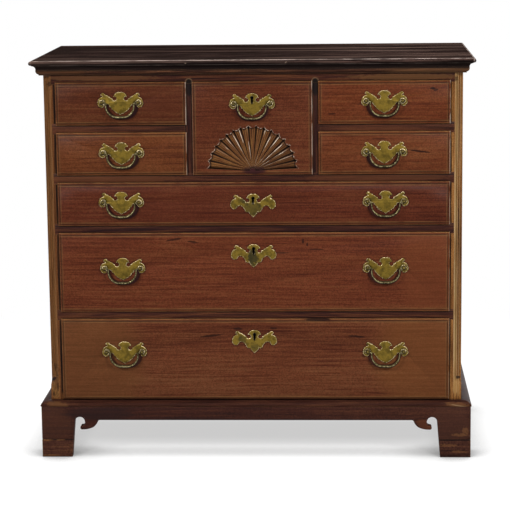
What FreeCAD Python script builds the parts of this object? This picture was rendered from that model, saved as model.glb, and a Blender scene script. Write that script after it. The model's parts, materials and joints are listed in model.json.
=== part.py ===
import FreeCAD, Part

import math
import os

# A chest of eight lipped drawers on bracket feet, in millimetres.
# The origin is on the floor under the middle of the top, +X is the chest's left-to-right
# as seen from the front, -Y is the front and +Z is up.

V = FreeCAD.Vector

spare = 1.0                  # how far a cutter runs past what it cuts

# ---------------------------------------------------------------- case
case_width = 994.0
case_depth = 497.0
side_thickness = 20.0
back_thickness = 15.0
back_rabbet = 10.0
back_board_count = 3
back_lap = 8.0
case_foot = 100.0            # height of the lower end of sides and posts
rail_depth = 70.0
rail_lap_depth = 10.0        # of a rail's end, let into the face of a post
rail_lap_margin = 2.0        # of post left beside it, at the chamfer
bottom_thickness = 18.0
runner_width = 40.0
guide_height = 18.0
bearer_margin = 20.0         # how far a bearer shows beside its partition

# ---------------------------------------------------------------- corner posts
post_width = 34.0
post_depth = 38.0
chamfer_leg = 18.5
tongue_top = 189.0
tongue_height = 21.0
tongue_bend_rise = 0.3       # where its two curves bend, as shares of its height
tongue_bend_sink = 0.12      # and of the chamfer's depth
flute_count = 3
flute_radius = 2.7
flute_pitch = 7.2
flute_margin = 5.0           # plain chamfer above and below the flutes

# ---------------------------------------------------------------- drawer openings
reveal = 17.5                # wood that shows between two drawer lips
lip_overlap = 4.0
lowest_lip = 140.0
bottom_drawer_height = 199.0
middle_drawer_height = 192.0
top_long_drawer_height = 104.0
short_drawer_height = 102.0
fan_drawer_width = 284.0
divider_reveal = 14.0
frieze_reveal = 17.5         # plain rail that shows above the top drawers

# ---------------------------------------------------------------- top and mouldings
top_side_overhang = 28.0
top_front_overhang = 28.0
top_back_overhang = 5.0
nose_upper_radius = 6.0
nose_lower_radius = 4.5
nose_step = 1.5              # square step between the nose and the cove under it
cove_height = 8.5
bed_height = 14.5
bed_projection = 13.5
bed_fillet = 2.5
bed_foot = 7.0               # projection of the bed moulding's lower edge

# ---------------------------------------------------------------- base
base_projection = 22.0
moulding_projection = 23.5
moulding_height = 12.0
moulding_edge = 3.5          # upright edge below the moulding's round
moulding_clearance = 1.5     # under the lowest drawer's lip
arch_height = 92.0
foot_width = 73.0
foot_taper = 7.5
foot_tip_height = 44.0
scroll_width = 60.0          # from the foot to the end of its spur
glue_block_size = 40.0
glue_block_lift = 3.0
brace_thickness = 18.0
brace_reach = 120.0
brace_toe = 60.0

# ---------------------------------------------------------------- drawers
lip_gap = 0.3                # between a closed drawer's lip and the case
lip_edge = 3.0               # square edge of the lip
thumb_width = 5.0
thumb_height = 4.0
thumb_step = 1.2
front_thickness = 14.0       # the part of the front inside the opening
side_clearance = 1.2
top_clearance = 1.5
runner_clearance = 0.3
box_side = 12.0
box_back = 12.0
box_bottom = 9.0
bottom_groove = 5.0
bottom_lift = 8.0
box_top_drop = 3.0
back_clearance = 12.0
tail_pitch = 34.0
tail_share = 0.62            # part of each pitch that the tail fills
tail_flare = 2.2
front_tail_length = 10.0

# ---------------------------------------------------------------- fan carving
fan_rays = 17
fan_spread = 173.2           # degrees between the first and last groove
fan_tip_radius = 108.0       # outer end of the grooves
fan_bow_depth = 6.0          # how far the rays' ends bow in between two grooves
fan_crown_depth = 2.8
fan_groove_depth = 7.4
fan_hub_rise = 9.5           # above the lip's lower edge
hub_radius = 7.0

# ---------------------------------------------------------------- brasses
plate_thickness = 1.6
plate_bevel = 0.8
bevel_width = 1.0
post_spacing = 86.0
pivot_standoff = 13.0
knob_radius = 4.8
knob_flange_radius = 6.0
knob_flange_height = 2.0
knob_neck_radius = 3.2
shank_radius = 2.5
shank_clearance = 0.1
nut_size = 11.0
nut_thickness = 3.5
shank_end = 1.5
bail_clearance = 2.6         # between a knob and the bail's arm
bail_drop = 34.5
bail_corner = 27.0
bail_shoulder = 4.0
bail_radius = 2.2
grip_radius = 3.0            # at the ends of the grip
grip_swell = 0.3             # and what its middle has more
pin_radius = 1.8
pin_clearance = 0.08
pin_hole_depth = 6.4
pin_end_play = 1.1
short_pull_rise = 4.0        # above the middle of the drawer
long_pull_position = 314.5   # from the middle of the chest
top_long_pull_rise = 6.0
middle_pull_rise = 11.5
bottom_pull_rise = 20.0

# ---------------------------------------------------------------- locks
lock_drop = 52.0             # from the lip's top edge to the plate's own centre line
keyhole_rise = 15.0
keyhole_radius = 2.8
keyhole_slot = 4.4
keyhole_length = 14.0
lock_width = 62.0
lock_height = 56.0
lock_thickness = 9.0
lock_face = 3.0              # thickness of the lock's plates
bolt_width = 24.0
bolt_thickness = 4.0
bolt_length = 24.0
bolt_clearance = 0.4
bolt_travel = 8.0

# ---------------------------------------------------------------- places worked out from these
half_case = case_width / 2
case_front = -(top_front_overhang + case_depth + top_back_overhang) / 2 + top_front_overhang
case_back = case_front + case_depth
back_face = case_back - back_thickness
rail_back = case_front + rail_depth
post_back = case_front + post_depth
side_face = half_case - side_thickness
opening_half = half_case - post_width
lap_end = half_case - chamfer_leg - rail_lap_margin
lap_back = case_front + rail_lap_depth
lip_half = opening_half + lip_overlap
rail_thickness = reveal + 2 * lip_overlap
divider_thickness = divider_reveal + 2 * lip_overlap

middle_lip = lowest_lip + bottom_drawer_height + reveal
top_long_lip = middle_lip + middle_drawer_height + reveal
low_short_lip = top_long_lip + top_long_drawer_height + reveal
high_short_lip = low_short_lip + short_drawer_height + reveal
highest_lip = high_short_lip + short_drawer_height
bed_bottom = highest_lip + frieze_reveal
case_top = bed_bottom + bed_height
nose_bottom = case_top + cove_height + nose_step
nose_level = nose_bottom + nose_lower_radius
top_surface = nose_level + nose_upper_radius
moulding_top = lowest_lip - moulding_clearance
base_board_top = moulding_top - moulding_height
bottom_level = lowest_lip + lip_overlap

fan_bow_radius = fan_tip_radius - fan_bow_depth
fan_lip_half = fan_drawer_width / 2
divider_inner = fan_lip_half - lip_overlap
divider_outer = divider_inner + divider_thickness
short_lip_inner = divider_outer - lip_overlap

lip_back = case_front - lip_gap
front_rear = case_front + front_thickness
thumb_top = case_front - lip_gap - lip_edge - thumb_height
front_face = thumb_top - thumb_step
box_end = back_face - back_clearance
pivot_y = front_face - pivot_standoff
bail_arm = post_spacing / 2 - knob_radius - bail_radius - bail_clearance
pin_end = post_spacing / 2 - knob_radius + pin_hole_depth - pin_end_play


# ---------------------------------------------------------------- helpers
def block(x0, x1, y0, y1, z0, z1):
    return Part.makeBox(x1 - x0, y1 - y0, z1 - z0, V(x0, y0, z0))


def mirrored(shape):
    """The same shape on the other side of the chest's middle plane."""
    return shape.mirror(V(0, 0, 0), V(1, 0, 0))


def fused(shapes):
    first = shapes[0]
    if len(shapes) > 1:
        first = first.multiFuse(shapes[1:]).removeSplitter()
    return first


def cut_all(shape, cutters):
    if not cutters:
        return shape
    return shape.cut(Part.makeCompound(cutters))


def outline(place, start, steps):
    """A closed wire. A step is (end,) for a straight line and (through, end) for an arc."""
    edges = []
    here = start
    for step in steps + [(start,)]:
        end = step[-1]
        if len(step) == 1:
            edges.append(Part.LineSegment(place(*here), place(*end)).toShape())
        else:
            edges.append(Part.Arc(place(*here), place(*step[0]), place(*end)).toShape())
        here = end
    return Part.Wire(edges)


def prism(wire, along):
    return Part.Face(wire).extrude(along)


def cylinder(radius, start, direction, length):
    return Part.makeCylinder(radius, length, start, direction)


def single(shape):
    """The one solid of a result, so that a node never holds an empty wrapper."""
    return shape.Solids[0] if len(shape.Solids) == 1 else shape


def group(shapes):
    return Part.makeCompound([solid for shape in shapes for solid in shape.Solids])


# ---------------------------------------------------------------- moulded edges
def moulded_slab(bottom, top, start, profile):
    """A board with one profile on its front and both sides, mitred at the corners.
    The profile runs from its lower to its upper end in (distance outside the case, height)."""
    reach = top_side_overhang + case_width
    back = case_back + top_back_overhang

    def at_front(out, z):
        return V(-reach, case_front - out, z)

    def at_side(out, z):
        return V(half_case + out, case_front - reach, z)

    depth = back - case_front
    steps = [(start,)] + profile
    front_prism = prism(
        outline(at_front, (-depth, bottom), steps + [((-depth, top),)]), V(2 * reach, 0, 0)
    )
    side_prism = prism(
        outline(at_side, (-half_case, bottom), steps + [((-half_case, top),)]),
        V(0, 2 * reach + depth, 0),
    )
    right = front_prism.common(side_prism)
    return single(fused([right, mirrored(right)]))


def mitred_strips(reach, start, profile, back):
    """Front, right and left strips of one profile round the case, cut at 45 degrees."""
    def at_front(out, z):
        return V(-half_case - reach, case_front - out, z)

    def at_side(out, z):
        return V(half_case + out, case_front - reach, z)

    def on_floor(x, y):
        return V(x, y, start[1] - reach)

    up = V(0, 0, 10 * reach)
    corner = (half_case, case_front)
    tip = (half_case + reach, case_front - reach)
    front_zone = prism(
        outline(on_floor, (-corner[0], corner[1]), [(corner,), (tip,), ((-tip[0], tip[1]),)]), up
    )
    side_zone = prism(
        outline(on_floor, corner, [(tip,), ((tip[0], back),), ((corner[0], back),)]), up
    )
    front = prism(outline(at_front, start, profile), V(2 * (half_case + reach), 0, 0))
    side = prism(outline(at_side, start, profile), V(0, reach + back - case_front, 0))
    right = side.common(side_zone)
    return [front.common(front_zone), right, mirrored(right)]


def quarter(centre, radius, start_turn):
    """Middle and end of a quarter round about a centre; start_turn counts quarters from outwards."""
    angles = [math.radians(90 * (start_turn + part)) for part in (0.5, 1)]
    return tuple((centre[0] + radius * math.cos(a), centre[1] + radius * math.sin(a)) for a in angles)


def top_board():
    """Nosed edge over a square step, with a cove under it that meets the bed moulding."""
    lead = top_side_overhang
    step_out = lead - nose_upper_radius
    cove_top = case_top + cove_height
    cove_width = step_out - bed_projection
    sag = 1 - math.sqrt(0.5)
    profile = [
        ((bed_projection + cove_width * sag, case_top + cove_height * (1 - sag)), (step_out, cove_top)),
        ((step_out, nose_bottom),),
        ((lead - nose_lower_radius, nose_bottom),),
        quarter((lead - nose_lower_radius, nose_level), nose_lower_radius, -1),
        quarter((step_out, nose_level), nose_upper_radius, 0),
    ]
    return moulded_slab(case_top, top_surface, (bed_projection, case_top), profile)


def bed_moulding():
    """An ovolo between two small square edges."""
    round_top = case_top - bed_fillet
    round_foot = bed_bottom + bed_fillet
    bulge = math.sqrt(0.5)
    middle = (
        bed_foot + (bed_projection - bed_foot) * bulge,
        round_top - (round_top - round_foot) * bulge,
    )
    profile = [
        ((bed_foot, bed_bottom),),
        ((bed_foot, round_foot),),
        (middle, (bed_projection, round_top)),
        ((bed_projection, case_top),),
        ((0, case_top),),
    ]
    return group(mitred_strips(2 * bed_projection, (0, bed_bottom), profile, case_back))


def base_moulding():
    """A quarter round with an upright lower edge."""
    shoulder = base_board_top + moulding_edge
    bulge = math.sqrt(0.5)
    middle = (moulding_projection * bulge, shoulder + (moulding_top - shoulder) * bulge)
    profile = [
        ((moulding_projection, base_board_top),),
        ((moulding_projection, shoulder),),
        (middle, (0, moulding_top)),
    ]
    return group(mitred_strips(2 * moulding_projection, (0, base_board_top), profile, case_back))


# ---------------------------------------------------------------- bracket feet
# The spur beside a foot, in hundredths of its width from the foot's inner edge and the arch.
spur_outline = [
    ((0, -8.3),),
    ((20.8, 13.0), (41.3, -8.3)),
    ((38.0, -20.0), (30.0, -24.2)),
    ((21.5, -31.5), (28.3, -39.3)),
    ((53.3, -37.3), (75.0, -30.0)),
    ((87.5, -17.7), (95.0, -2.7)),
    ((100, 0),),
]


def bracket_opening(place, width):
    """The space under one base board between its two feet, with a scrolled spur at each foot.
    Points are (distance from the board's end, height), and width is the board's length."""
    unit = scroll_width / 100
    inner = foot_width + foot_taper
    first = [
        tuple((inner + u * unit, arch_height + v * unit) for u, v in step) for step in spur_outline
    ]
    ends = [(foot_width, -spare)] + [step[-1] for step in first]
    other = []
    for index in range(len(first) - 1, -1, -1):
        points = list(first[index][:-1]) + [ends[index]]
        other.append(tuple((width - u, v) for u, v in points))
    across = [((width - ends[-1][0], ends[-1][1]),)]
    return outline(place, ends[0], first + across + other)


def base_boards():
    """The three bracket boards, and the pieced tips of the two front feet."""
    strip = [
        ((base_projection, 0.0),),
        ((base_projection, base_board_top),),
        ((0.0, base_board_top),),
    ]
    front, right, _ = mitred_strips(2 * base_projection, (0.0, 0.0), strip, case_back)
    outer = half_case + base_projection
    base_face = case_front - base_projection
    through = base_projection + 2 * spare
    front_arch = bracket_opening(lambda u, z: V(u - outer, base_face - spare, z), 2 * outer)
    front = front.cut(prism(front_arch, V(0, through, 0)))
    side_length = case_back - base_face
    side_arch = bracket_opening(lambda u, z: V(half_case - spare, base_face + u, z), side_length)
    right = right.cut(prism(side_arch, V(through, 0, 0)))
    toe = base_projection + foot_width + foot_taper
    corner = block(
        half_case - toe, outer + spare, base_face - spare, case_front + toe, -spare, foot_tip_height,
    )
    right_tips = [front.common(corner), right.common(corner)]
    front = front.cut(corner).cut(mirrored(corner))
    right = right.cut(corner)
    tips = right_tips + [mirrored(tip) for tip in right_tips]
    return single(front), single(right), single(mirrored(right)), group(tips)


def rear_foot_braces():
    """Plain boards across the back of the rear feet, cut off at a slant."""
    inner = half_case - brace_reach

    def place(x, z):
        return V(x, case_back - brace_thickness, z)

    shape = outline(
        place,
        (half_case, 0.0),
        [((half_case, case_foot),), ((inner, case_foot),), ((half_case - brace_toe, 0.0),)],
    )
    right = prism(shape, V(0, brace_thickness, 0))
    return group([right, mirrored(right)])


def glue_blocks():
    """Upright blocks behind the four feet; they carry the case."""
    inner = half_case - glue_block_size
    front = block(inner, half_case, case_front, case_front + glue_block_size, glue_block_lift, case_foot)
    rear_end = case_back - brace_thickness
    rear = block(inner, half_case, rear_end - glue_block_size, rear_end, glue_block_lift, case_foot)
    return group([front, rear, mirrored(front), mirrored(rear)])


# ---------------------------------------------------------------- case
def rail_lap(low, high):
    """The right end of a rail, let flush into the face of the post."""
    return block(opening_half, lap_end, case_front, lap_back, low, high)


def lapped(board, low, high):
    lap = rail_lap(low, high)
    return fused([board, lap, mirrored(lap)])


def corner_post():
    """The right post: chamfered, fluted, and squared again below through a curved stop."""
    post = block(opening_half, half_case, case_front, post_back, case_foot, case_top)
    slant = math.sqrt(0.5)
    outward = V(slant, -slant, 0)
    across = V(slant, slant, 0)
    centre = V(half_case - chamfer_leg / 2, case_front + chamfer_leg / 2, 0)
    depth = chamfer_leg * slant
    width = 4 * depth

    def place(out, z):
        return centre + outward * out - across * (width / 2) + V(0, 0, z)

    tongue_low = tongue_top - tongue_height
    middle = tongue_low + tongue_height / 2
    rise = tongue_height * tongue_bend_rise
    sink = depth * tongue_bend_sink
    chamfer = outline(
        place,
        (0.0, bed_bottom),
        [
            ((0.0, tongue_top),),
            ((sink, tongue_top - rise), (depth / 2, middle)),
            ((depth - sink, tongue_low + rise), (depth, tongue_low)),
            ((2 * depth, tongue_low),),
            ((2 * depth, bed_bottom),),
        ],
    )
    post = post.cut(prism(chamfer, across * width))
    flutes = []
    low = tongue_top + flute_margin + flute_radius
    high = bed_bottom - flute_margin - flute_radius
    for index in range(flute_count):
        offset = (index - (flute_count - 1) / 2) * flute_pitch
        foot = centre + across * offset + V(0, 0, low)
        head = centre + across * offset + V(0, 0, high)
        flute = fused([
            cylinder(flute_radius, foot, V(0, 0, 1), high - low),
            Part.makeSphere(flute_radius, foot),
            Part.makeSphere(flute_radius, head),
        ])
        flutes.append(flute)
    housings = [rail_lap(highest_lip - lip_overlap, case_top)]
    for lip in (middle_lip, top_long_lip, low_short_lip, high_short_lip):
        rail_top = lip + lip_overlap
        housings.append(rail_lap(rail_top - rail_thickness, rail_top))
    return single(cut_all(post, flutes + housings))


def case_side():
    """The right side board, rabbeted for the back."""
    board = block(side_face, half_case, post_back, case_back, case_foot, case_top)
    rabbet_face = half_case - back_rabbet
    rabbet = block(
        side_face - spare, rabbet_face, back_face, case_back + spare, case_foot - spare, case_top + spare,
    )
    return board.cut(rabbet)


def back_boards():
    """Horizontal boards, each lapped over the one below."""
    reach = half_case - back_rabbet
    height = (case_top - case_foot) / back_board_count
    half_thick = back_face + back_thickness / 2
    boards = []
    for index in range(back_board_count):
        low = case_foot + index * height
        board = block(-reach, reach, back_face, case_back, low, low + height)
        if index > 0:
            board = board.fuse(block(-reach, reach, half_thick, case_back, low - back_lap, low))
        if index < back_board_count - 1:
            high = low + height
            board = board.cut(block(
                -reach - spare, reach + spare, half_thick, case_back + spare, high - back_lap, high + spare,
            ))
        boards.append(board.removeSplitter())
    return group(boards)


def bolt_mortise(level):
    """The hole in the rail above a lock, deep enough for the bolt's whole travel."""
    half = bolt_width / 2 + 2 * bolt_clearance
    middle = bolt_middle()
    thick = bolt_thickness / 2 + 2 * bolt_clearance
    roof = level + bolt_travel + bolt_clearance
    return block(-half, half, middle - thick, middle + thick, level - spare, roof)


def drawer_rails():
    """The deep rail under the lowest drawer, and the rails between the long rows."""
    rails = [block(-opening_half, opening_half, case_front, rail_back, case_foot, bottom_level)]
    for lip in (middle_lip, top_long_lip, low_short_lip):
        high = lip + lip_overlap
        low = high - rail_thickness
        board = lapped(block(-opening_half, opening_half, case_front, rail_back, low, high), low, high)
        rails.append(board.cut(bolt_mortise(low)))
    return group(rails)


def top_rail():
    low = highest_lip - lip_overlap
    board = lapped(block(-opening_half, opening_half, case_front, rail_back, low, case_top), low, case_top)
    return board.cut(bolt_mortise(low))


def short_rails():
    high = high_short_lip + lip_overlap
    low = high - rail_thickness
    right = fused([block(divider_outer, opening_half, case_front, rail_back, low, high), rail_lap(low, high)])
    return group([right, mirrored(right)])


def dividers():
    low = low_short_lip + lip_overlap
    high = highest_lip - lip_overlap
    right = block(divider_inner, divider_outer, case_front, rail_back, low, high)
    return group([right, mirrored(right)])


def partitions():
    low = low_short_lip + lip_overlap
    right = block(divider_inner, divider_outer, rail_back, back_face, low, case_top)
    return group([right, mirrored(right)])


def bottom_board():
    return block(-side_face, side_face, rail_back, back_face, bottom_level - bottom_thickness, bottom_level)


def drawer_runners():
    """Runners at each rail's level, guides beside the drawers, and bearers under the partitions."""
    guide_top = bottom_level + guide_height
    right = [block(opening_half, side_face, post_back, back_face, bottom_level, guide_top)]
    inner = side_face - runner_width
    for lip in [middle_lip, top_long_lip, low_short_lip, high_short_lip]:
        level = lip + lip_overlap
        right.append(block(inner, side_face, rail_back, back_face, level - rail_thickness, level))
        right.append(block(opening_half, side_face, post_back, back_face, level, level + guide_height))
    level = low_short_lip + lip_overlap
    right.append(block(
        divider_inner - bearer_margin, divider_outer + bearer_margin,
        rail_back, back_face, level - rail_thickness, level,
    ))
    level = high_short_lip + lip_overlap
    right.append(block(
        divider_outer, divider_outer + bearer_margin, rail_back, back_face, level - rail_thickness, level,
    ))
    return group(right + [mirrored(piece) for piece in right])


# ---------------------------------------------------------------- brass
# Half of a bat-wing plate in hundredths of the post spacing, as (through, end) of each arc.
crown_height = 28.2
plate_crown = [
    ((12.3, 25.2), (18.4, 15.6)),
    ((11.5, 7.2), (21.9, 10.7)),
    ((26.0, 12.4), (29.1, 15.5)),
    ((33.0, 16.9), (36.0, 19.8)),
    ((40.0, 20.8), (43.0, 23.5)),
    ((50.7, 24.9), (53.5, 19.3)),
    ((50.5, 18.5), (48.6, 15.8)),
    ((57.7, 11.2), (62.3, 1.7)),
    ((61.6, -8.1), (53.5, -14.2)),
    ((48.4, -13.7), (45.1, -9.5)),
]
pull_skirt = [
    ((38.6, -4.9), (31.4, -7.2)),
    ((29.1, -12.1), (24.4, -15.3)),
    ((22.6, -20.0), (18.1, -22.8)),
    ((15.6, -26.1), (11.4, -27.8)),
    ((9.1, -30.0), (5.3, -30.9)),
    ((3.3, -32.9), (0, -34.4)),
]
escutcheon_skirt = [
    ((37.2, -4.5), (29.8, -7.4)),
    ((25.1, -12.8), (22.3, -19.3)),
    ((17.4, -23.1), (12.3, -21.9)),
    ((9.5, -27.6), (5.3, -31.9)),
    ((3.4, -34.1), (0, -36.7)),
]


def keyhole(y0, y1, x, z):
    """The shape of a keyhole, through everything from y0 to y1; z is its round end's middle."""
    eye = cylinder(keyhole_radius, V(x, y0, z), V(0, 1, 0), y1 - y0)
    slot = block(x - keyhole_slot / 2, x + keyhole_slot / 2, y0, y1, z - keyhole_length, z)
    return eye.fuse(slot).removeSplitter()


def plate_arcs(skirt):
    """The plate's edge as (start, through, end) arcs, clockwise from the crown's middle."""
    unit = post_spacing / 100
    half = [((a * unit, b * unit), (c * unit, d * unit)) for (a, b), (c, d) in plate_crown + skirt]
    points = [(0.0, crown_height * unit)] + [step[-1] for step in half]
    other = []
    for index in range(len(half) - 1, -1, -1):
        through = half[index][0]
        end = points[index]
        other.append(((-through[0], through[1]), (-end[0], end[1])))
    arcs = []
    here = points[0]
    for through, end in half + other:
        arcs.append((here, through, end))
        here = end
    return arcs


def centre_of(start, through, end):
    flat = [V(point[0], point[1], 0) for point in (start, through, end)]
    circle = Part.Arc(*flat).toShape().Curve
    return (circle.Center.x, circle.Center.y), circle.Radius


def meeting_point(first, second, near):
    """Where two circles cross, on the side that is closer to a point."""
    (x1, y1), r1 = first
    (x2, y2), r2 = second
    apart = math.hypot(x2 - x1, y2 - y1)
    along = (r1 ** 2 - r2 ** 2 + apart ** 2) / (2 * apart)
    aside = math.sqrt(max(r1 ** 2 - along ** 2, 0.0))
    ux = (x2 - x1) / apart
    uy = (y2 - y1) / apart
    found = [
        (x1 + along * ux - side * aside * uy, y1 + along * uy + side * aside * ux)
        for side in (1, -1)
    ]
    return min(found, key=lambda point: math.hypot(point[0] - near[0], point[1] - near[1]))


def inset_arcs(arcs, distance):
    """The same chain of arcs, moved inwards; hollow arcs grow and round ones shrink."""
    circles = []
    ratios = []
    for start, through, end in arcs:
        centre, radius = centre_of(start, through, end)
        first = (through[0] - start[0], through[1] - start[1])
        second = (end[0] - through[0], end[1] - through[1])
        hollow = first[0] * second[1] - first[1] * second[0] > 0
        moved = radius + distance if hollow else radius - distance
        circles.append((centre, moved))
        ratios.append(moved / radius)
    count = len(arcs)
    corners = [meeting_point(circles[i - 1], circles[i], arcs[i][0]) for i in range(count)]
    moved_arcs = []
    for i in range(count):
        (cx, cy), _ = circles[i]
        through = arcs[i][1]
        middle = (cx + (through[0] - cx) * ratios[i], cy + (through[1] - cy) * ratios[i])
        moved_arcs.append((corners[i], middle, corners[(i + 1) % count]))
    return moved_arcs


def brass_plate(x, z, skirt, holes, keyed):
    """A bat-wing plate with bevelled edges, lying on the drawer's face."""
    def wire(arcs, y):
        return Part.Wire([
            Part.Arc(*[V(x + u, y, z + v) for u, v in arc]).toShape() for arc in arcs
        ])

    outer = front_face - plate_thickness
    edge = outer + plate_bevel
    arcs = plate_arcs(skirt)
    flat = prism(wire(arcs, front_face), V(0, edge - front_face, 0))
    bevel = Part.makeLoft([wire(arcs, edge), wire(inset_arcs(arcs, bevel_width), outer)], True, True)
    plate = fused([flat, bevel])
    cutters = []
    for side in holes:
        start = V(x + side, front_face + spare, z)
        cutters.append(cylinder(
            shank_radius + shank_clearance, start, V(0, -1, 0), plate_thickness + 2 * spare,
        ))
    if keyed:
        cutters.append(keyhole(outer - spare, front_face + spare, x, z + keyhole_rise))
    return single(cut_all(plate, cutters))


def knob_post(x, z, inward):
    """A turned post with a ball head, bored from its inner side for the bail's pin."""
    plate_face = front_face - plate_thickness
    flange_face = plate_face - knob_flange_height
    head = Part.makeSphere(knob_radius, V(x, pivot_y, z))
    neck = cylinder(knob_neck_radius, V(x, flange_face, z), V(0, -1, 0), flange_face - pivot_y)
    flange = cylinder(knob_flange_radius, V(x, plate_face, z), V(0, -1, 0), knob_flange_height)
    shank_tip = front_rear + nut_thickness + shank_end
    shank = cylinder(shank_radius, V(x, shank_tip, z), V(0, -1, 0), shank_tip - flange_face)
    post = fused([head, neck, flange, shank])
    mouth = V(x + inward * (knob_radius + spare), pivot_y, z)
    bore = cylinder(pin_radius + pin_clearance, mouth, V(-inward, 0, 0), pin_hole_depth + spare)
    return single(post.cut(bore))


def nut(x, z):
    half = nut_size / 2
    body = block(x - half, x + half, front_rear, front_rear + nut_thickness, z - half, z + half)
    start = V(x, front_rear - spare, z)
    hole = cylinder(shank_radius + shank_clearance, start, V(0, 1, 0), nut_thickness + 2 * spare)
    return body.cut(hole)


def pull(x, z, keyed):
    """The fixed brass of one pull: plate, two posts and two nuts."""
    half = post_spacing / 2
    parts = [brass_plate(x, z, pull_skirt, (-half, half), keyed)]
    for side in (-1, 1):
        parts.append(knob_post(x + side * half, z, -side))
        parts.append(nut(x + side * half, z))
    return parts


def bail(x, z):
    """The swinging handle of one pull: a rod that thickens towards its grip, bent round and
    turned out into the two posts."""
    arm = bail_arm
    shoulder = arm + bail_shoulder

    def place(u, v):
        return V(x + u, pivot_y, z + v)

    bend = bail_shoulder * (1 - math.sqrt(0.5))
    turn = bail_corner * (1 - math.sqrt(0.5))
    corner_top = -bail_drop + bail_corner
    straight = arm - bail_corner
    arm_path = Part.Wire([
        Part.Arc(place(shoulder, 0), place(arm + bend, -bend), place(arm, -bail_shoulder)).toShape(),
        Part.LineSegment(place(arm, -bail_shoulder), place(arm, corner_top)).toShape(),
    ])
    corner_path = Part.Wire([Part.Arc(
        place(arm, corner_top), place(arm - turn, -bail_drop + turn), place(straight, -bail_drop),
    ).toShape()])
    arm_end = Part.Wire([Part.makeCircle(bail_radius, place(shoulder, 0), V(1, 0, 0))])
    corner_end = Part.Wire([Part.makeCircle(bail_radius, place(arm, corner_top), V(0, 0, -1))])
    grip_end = Part.Wire([Part.makeCircle(grip_radius, place(straight, -bail_drop), V(-1, 0, 0))])
    arm_rod = arm_path.makePipeShell([arm_end], True, False)
    corner_rod = corner_path.makePipeShell([corner_end, grip_end], True, False)
    pin = cylinder(pin_radius, place(shoulder - spare, 0), V(1, 0, 0), pin_end - shoulder + spare)
    right = fused([arm_rod, corner_rod, pin])

    def turned(u, radius):
        return V(x + u, pivot_y, z - bail_drop + radius)

    grip_outline = Part.Wire([
        Part.LineSegment(turned(-straight, 0), turned(-straight, grip_radius)).toShape(),
        Part.Arc(
            turned(-straight, grip_radius),
            turned(0, grip_radius + grip_swell),
            turned(straight, grip_radius),
        ).toShape(),
        Part.LineSegment(turned(straight, grip_radius), turned(straight, 0)).toShape(),
        Part.LineSegment(turned(straight, 0), turned(-straight, 0)).toShape(),
    ])
    grip = Part.Face(grip_outline).revolve(place(0, -bail_drop), V(1, 0, 0), 360)
    left = right.mirror(V(x, 0, 0), V(1, 0, 0))
    return single(fused([grip, right, left]))


# ---------------------------------------------------------------- locks
def bolt_middle():
    return front_rear - lock_thickness / 2


def lock_case(top, x, key_z):
    """A half-mortised lock: a box with a keyhole in front and a slot for the bolt on top."""
    half = lock_width / 2
    body = block(x - half, x + half, front_rear - lock_thickness, front_rear, top - lock_height, top)
    reach = bolt_width / 2 + bolt_clearance
    thick = bolt_thickness / 2 + bolt_clearance
    middle = bolt_middle()
    slot_foot = top - bolt_length - 2 * bolt_clearance
    slot = block(x - reach, x + reach, middle - thick, middle + thick, slot_foot, top + spare)
    hole = keyhole(front_rear - lock_thickness - spare, front_rear - lock_face, x, key_z)
    return single(body.cut(slot).cut(hole))


def lock_bolt(top, x):
    reach = bolt_width / 2
    middle = bolt_middle()
    half = bolt_thickness / 2
    head = top - bolt_clearance
    return block(x - reach, x + reach, middle - half, middle + half, head - bolt_length, head)


# ---------------------------------------------------------------- drawers
def lipped_front(x0, x1, z0, z1):
    """A drawer front: thumb-moulded lip all round, and a body that enters the opening."""
    def across(x, y):
        return V(x, y, z0)

    def upright(z, y):
        return V(x0, y, z)

    def moulded(place, low, high, along):
        rise = math.sqrt(0.5)
        edge = lip_back - lip_edge
        bulge = (thumb_width * (1 - rise), edge - thumb_height * rise)
        steps = [
            ((low, edge),),
            ((low + bulge[0], bulge[1]), (low + thumb_width, thumb_top)),
            ((low + thumb_width, front_face),),
            ((high - thumb_width, front_face),),
            ((high - thumb_width, thumb_top),),
            ((high - bulge[0], bulge[1]), (high, edge)),
            ((high, lip_back),),
        ]
        return prism(outline(place, (low, lip_back), steps), along)

    sides_moulded = moulded(across, x0, x1, V(0, 0, z1 - z0))
    ends_moulded = moulded(upright, z0, z1, V(x1 - x0, 0, 0))
    panel = sides_moulded.common(ends_moulded)
    inside = body_box(x0, x1, z0, z1)
    body = block(inside[0], inside[1], lip_back - lip_edge, front_rear, inside[2], inside[3])
    return fused([panel, body])


def body_box(x0, x1, z0, z1):
    """Outer faces of the drawer box: left, right, bottom and top."""
    return (
        x0 + lip_overlap + side_clearance,
        x1 - lip_overlap - side_clearance,
        z0 + lip_overlap + runner_clearance,
        z1 - lip_overlap - top_clearance,
    )


def tails(x0, x1, root, tip, z0, z1):
    """Dovetails on the end of a drawer side, widening from root to tip."""
    count = max(2, round((z1 - z0) / tail_pitch))
    pitch = (z1 - z0) / count
    made = []
    for index in range(count):
        middle = z0 + (index + 0.5) * pitch
        wide = pitch * tail_share / 2
        narrow = wide - tail_flare
        shape = outline(
            lambda y, z: V(x0, y, z),
            (root, middle - narrow),
            [((tip, middle - wide),), ((tip, middle + wide),), ((root, middle + narrow),)],
        )
        made.append(prism(shape, V(x1 - x0, 0, 0)))
    return made


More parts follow.
